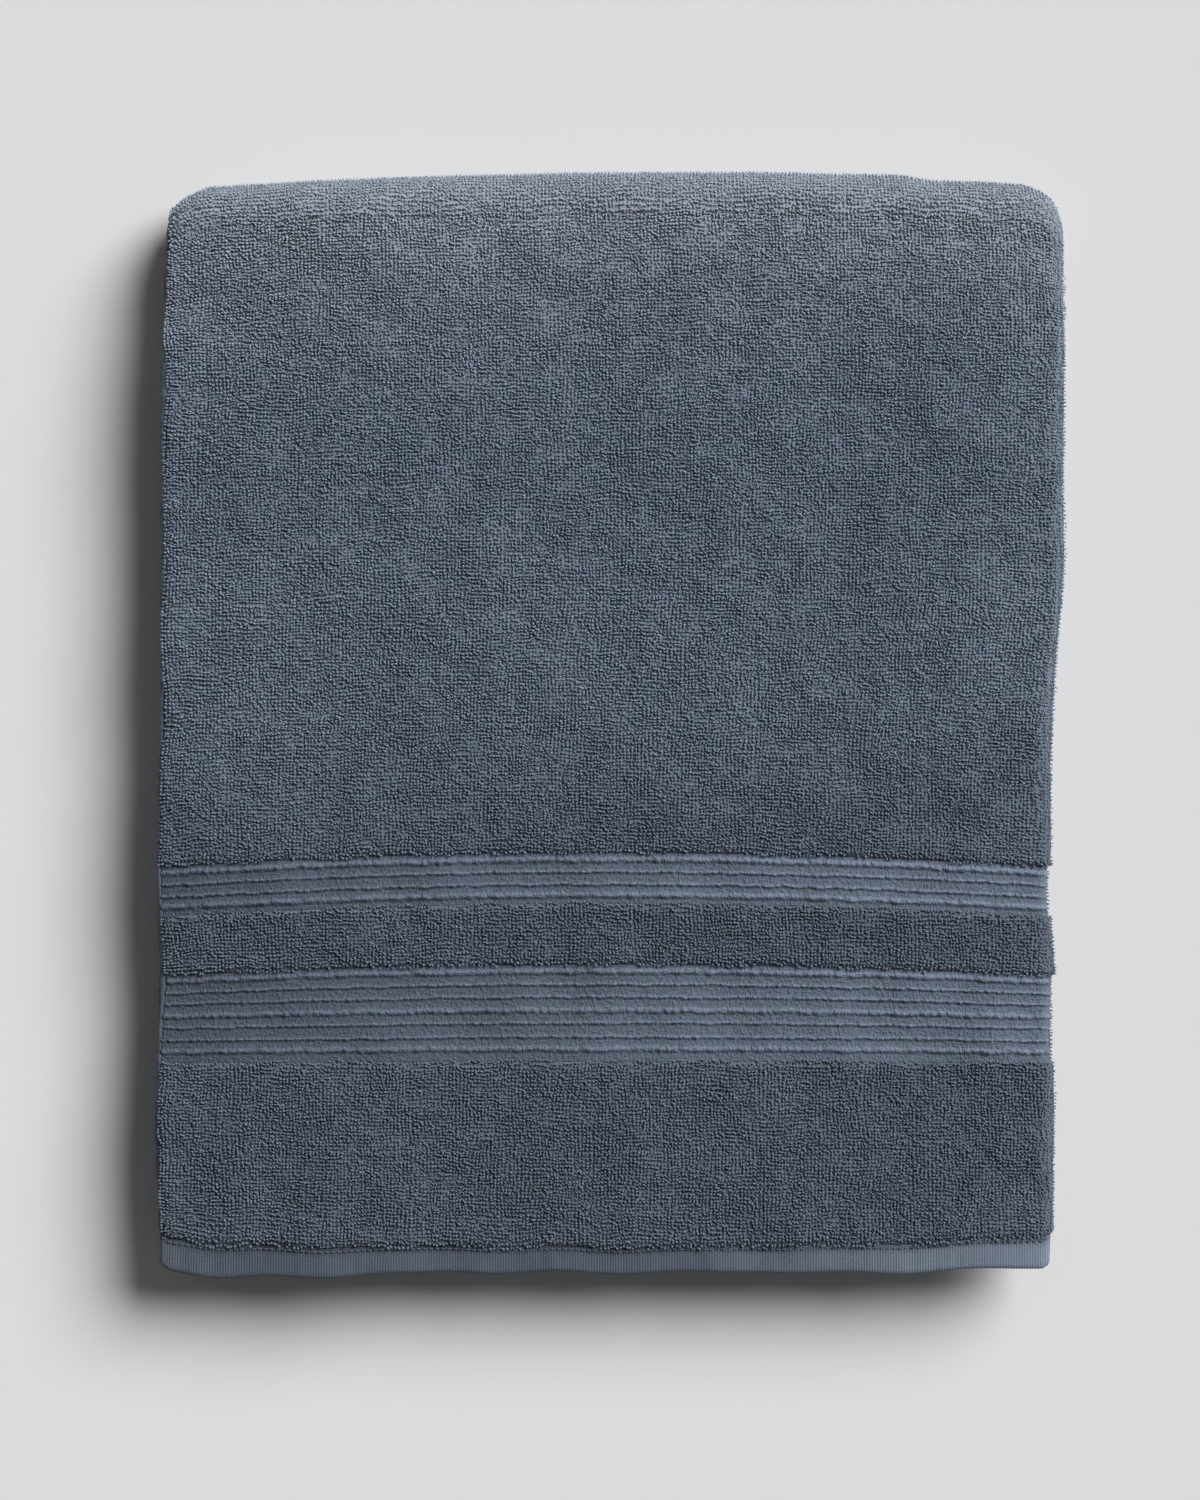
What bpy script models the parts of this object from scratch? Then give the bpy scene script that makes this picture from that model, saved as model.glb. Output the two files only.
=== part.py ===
"""A terry bath towel, folded in half along its length and then in thirds across it.

The towel lies flat on its bottom leaf. +X is across the folded towel, towards the rolled side
fold, and -X is the open side, where the selvedges lie on each other. +Y runs from the end hem,
at the front, to the big back fold. +Z is up, and z = 0 is the surface that the towel lies on.

The cloth lies in six layers, numbered 0 to 5 from the bottom. Each leaf is two layers, joined
at the side fold: the bottom leaf is layers 0 and 1, the inner leaf is 2 and 3, the top leaf is
4 and 5. The front fold joins the bottom leaf to the inner one, and the back fold joins it to the
top one, round the free end of the inner leaf. Each piece is one weave zone of a leaf, a fold, a
selvedge or a row of stitching. All sizes are in metres.
"""

import math

import bmesh
import bpy

# The folded towel.
FOLDED_WIDTH = 0.382
FOLDED_LENGTH = 0.466

# The cloth, loops and all.
TERRY_THICKNESS = 0.0065
BORDER_THICKNESS = 0.0030
HEM_THICKNESS = 0.0034
SELVEDGE_THICKNESS = 0.0024
SELVEDGE_WIDTH = 0.0040
THREAD_RADIUS = 0.0004

# The weave zones, measured along the towel from its end.
HEM_DEPTH = 0.0108
END_BAND_DEPTH = 0.0780
WIDE_BORDER_DEPTH = 0.0414
TERRY_STRIP_DEPTH = 0.0253
NARROW_BORDER_DEPTH = 0.0220
STITCH_INSET = 0.0016

# Clearances.
LAYER_GAP = 0.0003
ZONE_GAP = 0.0003
FRONT_FOLD_SETBACK = 0.0020
INNER_END_CLEARANCE = 0.0015

# Roundness of the folds.
SIDE_FOLD_STEPS = 10
ACROSS_FOLD_STEPS = 20
THREAD_BEVEL_RESOLUTION = 1

# What follows from the sizes above.
LAYER_PITCH = TERRY_THICKNESS + LAYER_GAP
STACK_HEIGHT = 6 * TERRY_THICKNESS + 5 * LAYER_GAP
HALF_TERRY = TERRY_THICKNESS / 2
SIDE_FOLD_RADIUS = LAYER_PITCH / 2
SIDE_FOLD_X = FOLDED_WIDTH / 2 - SIDE_FOLD_RADIUS - HALF_TERRY
OPEN_SIDE_X = -FOLDED_WIDTH / 2
SELVEDGE_INNER_X = OPEN_SIDE_X + SELVEDGE_WIDTH
FRONT_END_Y = -FOLDED_LENGTH / 2
FRONT_FOLD_Y = FRONT_END_Y + FRONT_FOLD_SETBACK + 1.5 * LAYER_PITCH + HALF_TERRY
FRONT_FOLD_Z = HALF_TERRY + 1.5 * LAYER_PITCH
BACK_FOLD_Y = FOLDED_LENGTH / 2 - 2.5 * LAYER_PITCH - HALF_TERRY
BACK_FOLD_Z = STACK_HEIGHT / 2
INNER_END_Y = BACK_FOLD_Y - INNER_END_CLEARANCE

# Each zone's name, its depth along the towel and its thickness, from the end of the towel.
END_ZONES = (
    ("end_hem", HEM_DEPTH, HEM_THICKNESS),
    ("end_band", END_BAND_DEPTH, TERRY_THICKNESS),
    ("wide_border", WIDE_BORDER_DEPTH, BORDER_THICKNESS),
    ("terry_strip", TERRY_STRIP_DEPTH, TERRY_THICKNESS),
    ("narrow_border", NARROW_BORDER_DEPTH, BORDER_THICKNESS),
)


def layer_z(layer):
    """Height of the middle of a cloth layer."""
    return HALF_TERRY + layer * LAYER_PITCH


def clear_scene():
    for obj in list(bpy.data.objects):
        bpy.data.objects.remove(obj, do_unlink=True)


def make_material(name, colour, roughness):
    material = bpy.data.materials.new(name)
    material.use_nodes = True
    shader = material.node_tree.nodes["Principled BSDF"]
    shader.inputs["Base Color"].default_value = (*colour, 1.0)
    shader.inputs["Roughness"].default_value = roughness
    shader.inputs["Metallic"].default_value = 0.0
    return material


def terry_material():
    return make_material("terry_loops", (0.083, 0.102, 0.133), 0.95)


def border_material():
    return make_material("ribbed_border", (0.101, 0.123, 0.160), 0.70)


def hem_material():
    return make_material("plain_hem", (0.080, 0.093, 0.120), 0.80)


def selvedge_material():
    return make_material("woven_selvedge", (0.074, 0.088, 0.112), 0.85)


def thread_material():
    return make_material("sewing_thread", (0.090, 0.106, 0.138), 0.60)


def arc(radius, start, end, steps):
    """Points on a circle round the origin, with both ends."""
    turns = [start + (end - start) * i / steps for i in range(steps + 1)]
    return [(radius * math.cos(turn), radius * math.sin(turn)) for turn in turns]


def hairpin_line(lower_arm, upper_arm, radius, steps):
    """An open line: along the lower arm, round the bend at +x, and back along the upper arm."""
    bend = arc(radius, -math.pi / 2, math.pi / 2, steps)
    start = [(-lower_arm, -radius)] if lower_arm > 0 else []
    end = [(-upper_arm, radius)] if upper_arm > 0 else []
    return start + bend + end


def hairpin(lower_arm, upper_arm, radius, thickness, steps):
    """A closed outline: a strip of this thickness along hairpin_line."""
    outside = hairpin_line(lower_arm, upper_arm, radius + thickness / 2, steps)
    inside = hairpin_line(lower_arm, upper_arm, radius - thickness / 2, steps)
    return outside + inside[::-1]


class Towel:
    """Puts each piece in the towel's collection, and the top leaf's pieces on their hinge."""

    def __init__(self):
        self.collection = bpy.data.collections.new("bath_towel")
        bpy.context.scene.collection.children.link(self.collection)
        self.hinge = bpy.data.objects.new("top_leaf_hinge", None)
        self.hinge.location = (0.0, BACK_FOLD_Y, BACK_FOLD_Z)
        self.collection.objects.link(self.hinge)
        bpy.context.view_layer.update()

    def add(self, name, data, material, place, turn=(0.0, 0.0, 0.0), on_hinge=False):
        """A new object of this data at a place in the world, on the hinge where it opens."""
        obj = bpy.data.objects.new(name, data)
        data.materials.append(material)
        self.collection.objects.link(obj)
        obj.rotation_euler = turn
        obj.location = place
        if on_hinge:
            obj.parent = self.hinge
            obj.matrix_parent_inverse = self.hinge.matrix_world.inverted()
        return obj

    def flat_outline(self, name, outline, depth, material, place, turn, on_hinge=False):
        """A flat outline, made as thick as depth, half to each side."""
        curve = bpy.data.curves.new(name, "CURVE")
        curve.dimensions = "2D"
        curve.fill_mode = "BOTH"
        curve.extrude = depth / 2
        spline = curve.splines.new("POLY")
        spline.points.add(len(outline) - 1)
        for point, (x, y) in zip(spline.points, outline):
            point.co = (x, y, 0.0, 1.0)
        spline.use_cyclic_u = True
        return self.add(name, curve, material, place, turn, on_hinge)

    def leaf_zone(self, name, lower_layer, thickness, open_x, span, material, on_hinge=False):
        """One weave zone of a leaf: two layers, joined by the side fold, between two Y values."""
        arm = SIDE_FOLD_X - open_x
        outline = hairpin(arm, arm, SIDE_FOLD_RADIUS, thickness, SIDE_FOLD_STEPS)
        place = (SIDE_FOLD_X, sum(span) / 2, layer_z(lower_layer + 0.5))
        upright = (math.pi / 2, 0.0, 0.0)
        depth = span[1] - span[0]
        return self.flat_outline(name, outline, depth, material, place, upright, on_hinge)

    def turned_fold(self, name, place, lower_layer, side, material):
        """A leaf's section, swept half a turn about a line along X, towards +Y or -Y."""
        arm = SIDE_FOLD_X - SELVEDGE_INNER_X - ZONE_GAP
        outline = hairpin(arm, arm, SIDE_FOLD_RADIUS, TERRY_THICKNESS, SIDE_FOLD_STEPS)
        drop = layer_z(lower_layer + 0.5) - place[2]
        shape = bmesh.new()
        corners = [shape.verts.new((SIDE_FOLD_X + x, 0.0, drop + z)) for x, z in outline]
        start = shape.faces.new(corners)
        bmesh.ops.spin(
            shape,
            geom=[start, *start.edges, *start.verts],
            cent=(0.0, 0.0, 0.0),
            axis=(1.0, 0.0, 0.0),
            angle=side * math.pi,
            steps=ACROSS_FOLD_STEPS,
            use_duplicate=False,
        )
        rims = [edge for edge in shape.edges if edge.is_boundary]
        bmesh.ops.holes_fill(shape, edges=rims)
        bmesh.ops.recalc_face_normals(shape, faces=shape.faces)
        mesh = bpy.data.meshes.new(name)
        shape.to_mesh(mesh)
        shape.free()
        return self.add(name, mesh, material, place)

    def selvedge(self, name, arms, radius, side, place, material, on_hinge=False):
        """A narrow strip along the open side, bent round a fold that bulges to +Y or -Y."""
        outline = hairpin(*arms, radius, SELVEDGE_THICKNESS, ACROSS_FOLD_STEPS)
        outline = [(side * y, z) for y, z in outline]
        sideways = (math.pi / 2, 0.0, math.pi / 2)
        place = (OPEN_SIDE_X + SELVEDGE_WIDTH / 2, *place)
        return self.flat_outline(
            name, outline, SELVEDGE_WIDTH, material, place, sideways, on_hinge
        )

    def hem_stitching(self, name, lower_layer, y, material, on_hinge=False):
        """One row of stitching, over the hem's upper face, round the side fold, and back under."""
        stand = HEM_THICKNESS / 2 + LAYER_GAP + THREAD_RADIUS
        arm = SIDE_FOLD_X - OPEN_SIDE_X - STITCH_INSET
        line = hairpin_line(arm, arm, SIDE_FOLD_RADIUS + stand, SIDE_FOLD_STEPS)
        curve = bpy.data.curves.new(name, "CURVE")
        curve.dimensions = "3D"
        curve.bevel_depth = THREAD_RADIUS
        curve.bevel_resolution = THREAD_BEVEL_RESOLUTION
        curve.use_fill_caps = True
        spline = curve.splines.new("POLY")
        spline.points.add(len(line) - 1)
        for point, (x, z) in zip(spline.points, line):
            point.co = (x, 0.0, z, 1.0)
        place = (SIDE_FOLD_X, y, layer_z(lower_layer + 0.5))
        return self.add(name, curve, material, place, on_hinge=on_hinge)


def add_leaf_zones(towel, leaf, lower_layer, end_y, fold_y, materials, on_hinge=False):
    """The weave zones of a leaf, from the towel's end at end_y to the fold plane at fold_y."""
    way = math.copysign(1.0, fold_y - end_y)
    near = end_y
    for zone, depth, thickness in END_ZONES:
        far = near + way * (depth - ZONE_GAP)
        open_x = OPEN_SIDE_X if zone == "end_hem" else SELVEDGE_INNER_X + ZONE_GAP
        towel.leaf_zone(
            f"{leaf}_{zone}",
            lower_layer,
            thickness,
            open_x,
            sorted((near, far)),
            materials[zone],
            on_hinge,
        )
        near += way * depth
    towel.leaf_zone(
        f"{leaf}_terry_field",
        lower_layer,
        TERRY_THICKNESS,
        SELVEDGE_INNER_X + ZONE_GAP,
        sorted((near, fold_y - way * ZONE_GAP / 2)),
        materials["terry"],
        on_hinge,
    )
    towel.hem_stitching(
        f"{leaf}_hem_stitching",
        lower_layer,
        end_y + way * (HEM_DEPTH - STITCH_INSET),
        materials["thread"],
        on_hinge,
    )


def add_selvedges(towel, material):
    """The woven edges of the two cloth layers of each leaf and fold, along the open side."""
    bottom_arm = BACK_FOLD_Y - FRONT_FOLD_Y - ZONE_GAP / 2
    inner_arm = INNER_END_Y - HEM_DEPTH - FRONT_FOLD_Y
    front_place = (FRONT_FOLD_Y, FRONT_FOLD_Z)
    back_place = (BACK_FOLD_Y, BACK_FOLD_Z)
    rings = (("outer", 1.5, 2.5), ("inner", 0.5, 1.5))
    for ring, front_pitches, back_pitches in rings:
        towel.selvedge(
            f"base_selvedge_{ring}",
            (bottom_arm, inner_arm),
            front_pitches * LAYER_PITCH,
            -1,
            front_place,
            material,
        )
        towel.selvedge(
            f"back_fold_selvedge_{ring}",
            (0.0, 0.0),
            back_pitches * LAYER_PITCH,
            1,
            back_place,
            material,
        )
    for edge, layer in (("lower", 4), ("upper", 5)):
        add_straight_selvedge(towel, f"top_leaf_selvedge_{edge}", layer, material)


def add_straight_selvedge(towel, name, layer, material):
    """A flat selvedge of the top leaf, from its end hem to the back fold."""
    low = (OPEN_SIDE_X, FRONT_END_Y + HEM_DEPTH, layer_z(layer) - SELVEDGE_THICKNESS / 2)
    high = (
        SELVEDGE_INNER_X,
        BACK_FOLD_Y - ZONE_GAP / 2,
        layer_z(layer) + SELVEDGE_THICKNESS / 2,
    )
    shape = bmesh.new()
    bmesh.ops.create_cube(shape, size=1.0)
    bmesh.ops.scale(shape, vec=[b - a for a, b in zip(low, high)], verts=shape.verts)
    mesh = bpy.data.meshes.new(name)
    shape.to_mesh(mesh)
    shape.free()
    middle = [(a + b) / 2 for a, b in zip(low, high)]
    towel.add(name, mesh, material, middle, on_hinge=True)


def add_towel():
    terry = terry_material()
    border = border_material()
    selvedge = selvedge_material()
    materials = {
        "terry": terry,
        "end_band": terry,
        "terry_strip": terry,
        "wide_border": border,
        "narrow_border": border,
        "end_hem": hem_material(),
        "thread": thread_material(),
    }
    towel = Towel()
    bottom_span = (FRONT_FOLD_Y + ZONE_GAP / 2, BACK_FOLD_Y - ZONE_GAP / 2)
    open_x = SELVEDGE_INNER_X + ZONE_GAP
    towel.leaf_zone("bottom_leaf_terry", 0, TERRY_THICKNESS, open_x, bottom_span, terry)
    front_axis = (0.0, FRONT_FOLD_Y, FRONT_FOLD_Z)
    back_axis = (0.0, BACK_FOLD_Y, BACK_FOLD_Z)
    towel.turned_fold("front_fold", front_axis, 0, -1, terry)
    towel.turned_fold("back_fold", back_axis, 0, 1, terry)
    add_leaf_zones(towel, "inner_leaf", 2, INNER_END_Y, FRONT_FOLD_Y, materials)
    add_leaf_zones(towel, "top_leaf", 4, FRONT_END_Y, BACK_FOLD_Y, materials, on_hinge=True)
    add_selvedges(towel, selvedge)


clear_scene()
add_towel()
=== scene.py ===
"""Folded terry bath towel: cloth, loop pile, ribbed borders, hems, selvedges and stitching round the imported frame.

The flat cloth is described once, by how far along and how far across it a point lies, and one fold plan lays
every piece of it into the folded stack. Real loops stand on every face of the pile that can be seen at rest.
"""

import logging
import math
from dataclasses import dataclass, field, replace
from enum import Enum
from typing import Any, Callable, ClassVar, Iterable, Sequence

import bpy
import numpy as np
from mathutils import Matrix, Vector


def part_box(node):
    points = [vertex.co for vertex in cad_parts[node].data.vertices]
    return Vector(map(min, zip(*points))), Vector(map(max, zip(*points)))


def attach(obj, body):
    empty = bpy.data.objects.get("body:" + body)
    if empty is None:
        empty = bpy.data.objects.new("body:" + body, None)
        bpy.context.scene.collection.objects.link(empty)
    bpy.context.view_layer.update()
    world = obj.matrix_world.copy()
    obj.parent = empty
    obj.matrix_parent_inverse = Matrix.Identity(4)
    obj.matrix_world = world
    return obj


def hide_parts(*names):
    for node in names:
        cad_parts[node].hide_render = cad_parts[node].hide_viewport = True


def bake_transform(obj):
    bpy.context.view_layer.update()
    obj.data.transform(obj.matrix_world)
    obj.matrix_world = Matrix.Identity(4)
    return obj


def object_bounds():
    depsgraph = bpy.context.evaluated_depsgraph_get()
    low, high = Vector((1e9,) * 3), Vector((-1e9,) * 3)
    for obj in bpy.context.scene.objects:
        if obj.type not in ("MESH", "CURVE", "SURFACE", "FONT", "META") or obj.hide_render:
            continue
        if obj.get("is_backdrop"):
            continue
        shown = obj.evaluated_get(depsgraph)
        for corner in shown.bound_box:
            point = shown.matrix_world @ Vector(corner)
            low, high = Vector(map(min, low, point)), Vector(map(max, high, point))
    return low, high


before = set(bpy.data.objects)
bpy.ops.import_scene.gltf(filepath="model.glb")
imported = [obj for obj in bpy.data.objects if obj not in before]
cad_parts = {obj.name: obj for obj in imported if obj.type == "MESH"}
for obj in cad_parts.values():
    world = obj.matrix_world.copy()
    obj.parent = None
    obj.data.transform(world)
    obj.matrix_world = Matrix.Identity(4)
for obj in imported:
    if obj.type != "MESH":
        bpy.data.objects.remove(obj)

Array = np.ndarray
Solid = bpy.types.Object
Material = bpy.types.Material
Socket = bpy.types.NodeSocket
Triple = tuple[float, float, float]

LOG = logging.getLogger("bath_towel")
MM = 0.001
MAP_NAME = "OFBake"
BASE = "base"
TOP_LEAF = "top_leaf"


# --------------------------------------------------------------------------- small helpers


def smooth(low: float, high: float, x: Array) -> Array:
    """A soft step.

    Args:
        low: Where the step leaves 0.
        high: Where it reaches 1. It may lie below low.
        x: The places to read it at.

    Returns:
        Its value from 0 to 1 at each place.
    """
    t = np.clip((np.asarray(x, float) - low) / (high - low), 0.0, 1.0)
    return t * t * (3.0 - 2.0 * t)


def ripple(x: Array, y: Array, length: float, seed: int, waves: int = 9) -> Array:
    """Smooth unevenness, a sum of plane waves in fixed random directions.

    Args:
        x: Places along the first direction, in metres.
        y: Places along the second direction, in metres.
        length: The usual distance from one high spot to the next, in metres.
        seed: Fixes the waves.
        waves: How many waves are added.

    Returns:
        The height at each place, with a spread of about 1.
    """
    rng = np.random.default_rng(seed)
    total = np.zeros(np.broadcast(x, y).shape)
    for _ in range(waves):
        turn = rng.uniform(0.0, 2.0 * math.pi)
        number = 2.0 * math.pi / (length * rng.uniform(0.7, 1.6))
        phase = rng.uniform(0.0, 2.0 * math.pi)
        total = total + np.cos(number * (x * math.cos(turn) + y * math.sin(turn)) + phase)
    return total * math.sqrt(2.0 / waves)


@dataclass(frozen=True)
class Waves:
    """An unevenness: how strong it is, the usual distance between its high spots, and what fixes it."""

    amount: float
    length: float
    seed: int

    def at(self, x: Array, y: Array) -> Array:
        """Its value at each place."""
        return self.amount * ripple(x, y, self.length, self.seed)


def blunt(x: Array, power: float) -> Array:
    """Numbers from -1 to 1 raised to a power below 1, with their signs kept."""
    return np.sign(x) * np.abs(x) ** power


def steps(start: float, end: float, pitch: float) -> Array:
    """Evenly spaced places from start to end, about a pitch apart."""
    return np.linspace(start, end, max(2, int(round((end - start) / pitch)) + 1))


def sparse(places: Array, pitch: float) -> Array:
    """Which places to keep so that they lie at least a pitch apart.

    Args:
        places: Rising places.
        pitch: The least distance between two that are kept.

    Returns:
        The indices of the kept places, the first and the last among them.
    """
    kept = [0]
    for i in range(1, len(places) - 1):
        near_end = places[-1] - places[i] < 0.6 * pitch
        if places[i] - places[kept[-1]] >= pitch and not near_end:
            kept.append(i)
    return np.array(kept + [len(places) - 1])


# --------------------------------------------------------------------------- the fold


@dataclass(frozen=True)
class FoldPlan:
    """Where flat cloth goes when the towel is folded.

    s runs along the cloth, from the top leaf's end over the back fold, under the stack, round the front fold
    and back to the inner leaf's end. x runs across it, and w is the height over the middle of a leaf, outwards.
    """

    front_end: float
    back_y: float
    back_z: float
    back_radius: float
    front_y: float
    front_z: float
    front_radius: float
    side_x: float
    open_x: float
    half_pitch: float
    thickness: float
    gap: float

    @classmethod
    def from_frame(cls) -> "FoldPlan":
        """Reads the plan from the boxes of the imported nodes.

        Returns:
            The plan.
        """
        bottom_low, bottom_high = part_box("bottom_leaf_terry")
        inner_low, inner_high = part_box("inner_leaf_terry_field")
        top_low, top_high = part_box("top_leaf_terry_field")
        back_low, back_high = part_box("back_fold")
        front_low, front_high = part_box("front_fold")
        gap = inner_low.z - bottom_high.z
        thickness = (bottom_high.z - bottom_low.z - gap) / 2
        half_pitch = (thickness + gap) / 2
        back_z = (back_low.z + back_high.z) / 2
        front_z = (front_low.z + front_high.z) / 2
        return cls(
            front_end=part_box("top_leaf_end_hem")[0].y,
            back_y=back_low.y,
            back_z=back_z,
            back_radius=(top_low.z + top_high.z) / 2 - back_z,
            front_y=front_high.y,
            front_z=front_z,
            front_radius=(inner_low.z + inner_high.z) / 2 - front_z,
            side_x=bottom_high.x - half_pitch - thickness / 2,
            open_x=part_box("base_selvedge_outer")[0].x,
            half_pitch=half_pitch,
            thickness=thickness,
            gap=gap,
        )

    @property
    def arm(self) -> float:
        """How wide one layer is, from the open edge to where the side fold starts."""
        return self.side_x - self.open_x

    @property
    def ring(self) -> float:
        """How much cloth the side fold takes."""
        return math.pi * self.half_pitch

    @property
    def across(self) -> float:
        """The whole width of the flat cloth."""
        return 2 * self.arm + self.ring

    @property
    def breaks(self) -> tuple[float, float, float, float]:
        """Where along the cloth the back fold starts and ends and the front fold starts and ends.

        Returns:
            The four places, in that order.
        """
        back_start = self.back_y - self.front_end
        back_end = back_start + math.pi * self.back_radius
        front_start = back_end + self.back_y - self.front_y
        return back_start, back_end, front_start, front_start + math.pi * self.front_radius

    def along_top(self, y: float) -> float:
        """How far along the cloth the top leaf's place y lies."""
        return y - self.front_end

    def along_bottom(self, y: float) -> float:
        """How far along the cloth the bottom leaf's place y lies."""
        return self.breaks[1] + self.back_y - y

    def along_inner(self, y: float) -> float:
        """How far along the cloth the inner leaf's place y lies."""
        return self.breaks[3] + y - self.front_y

    def curved(self, s: Array, a: Array, before: float = 34 * MM, past: float = 16 * MM) -> Array:
        """1 on the side fold and round the back and front folds, 0 on the flats.

        Args:
            s: Places along the cloth.
            a: Places across it.
            before: How far in front of the back fold the change starts.
            past: How far round the back fold it ends.

        Returns:
            The share, from 0 to 1, at each place.
        """
        back_start, back_end, front_start, front_end = self.breaks
        side = smooth(self.arm - 3 * MM, self.arm + 4 * MM, a)
        back = smooth(back_start - before, back_start + past, s) * smooth(back_end + 6 * MM, back_end, s)
        front = smooth(front_start - 6 * MM, front_start, s) * smooth(front_end + 6 * MM, front_end, s)
        return np.maximum(side, np.maximum(back, front))

    def section(self, a: Array, n: Array) -> tuple[Array, Array]:
        """A leaf's cross-section: the outer layer, the side fold, then the inner layer.

        Args:
            a: How far across the cloth, from the outer layer's open edge.
            n: How far out of the cloth's middle, away from the inside of the side fold.

        Returns:
            x and w of each point.
        """
        a, n = np.broadcast_arrays(np.asarray(a, float), np.asarray(n, float))
        turn = math.pi / 2 - np.clip(a - self.arm, 0.0, self.ring) / self.half_pitch
        past = np.clip(a - self.arm - self.ring, 0.0, None)
        x = self.open_x + np.minimum(a, self.arm) - past + (self.half_pitch + n) * np.cos(turn)
        return x, (self.half_pitch + n) * np.sin(turn)

    def lay(self, s: Array, x: Array, w: Array) -> Array:
        """Lays points of a leaf into the folded stack.

        Args:
            s: How far along the cloth.
            x: Where across.
            w: The height over the leaf's middle, outwards.

        Returns:
            One point for each.
        """
        s, x, w = np.broadcast_arrays(*(np.asarray(v, float) for v in (s, x, w)))
        back_start, back_end, front_start, front_end = self.breaks
        back = (np.clip(s, back_start, back_end) - back_start) / self.back_radius
        front = (np.clip(s, front_start, front_end) - front_start) / self.front_radius
        early = s <= front_start
        out_y = np.where(early, np.sin(back), -np.sin(front))
        out_z = np.where(early, np.cos(back), -np.cos(front))
        y = np.where(s < back_start, self.front_end + s, self.back_y)
        y = np.where((s > back_end) & early, self.back_y - (s - back_end), y)
        y = np.where(early, y, self.front_y)
        y = np.where(s > front_end, self.front_y + s - front_end, y)
        z = np.where(early, self.back_z, self.front_z)
        reach = np.where(early, self.back_radius, self.front_radius) + w
        return np.stack([x, y + reach * out_y, z + reach * out_z], -1)


@dataclass(frozen=True)
class Shift:
    """A soft step in where cloth lies: by how much it has moved, and between which two places it starts to."""

    amount: float
    low: float
    high: float

    def at(self, x: Array) -> Array:
        """How far the cloth has moved at each place."""
        return self.amount * smooth(self.low, self.high, x)


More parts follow.
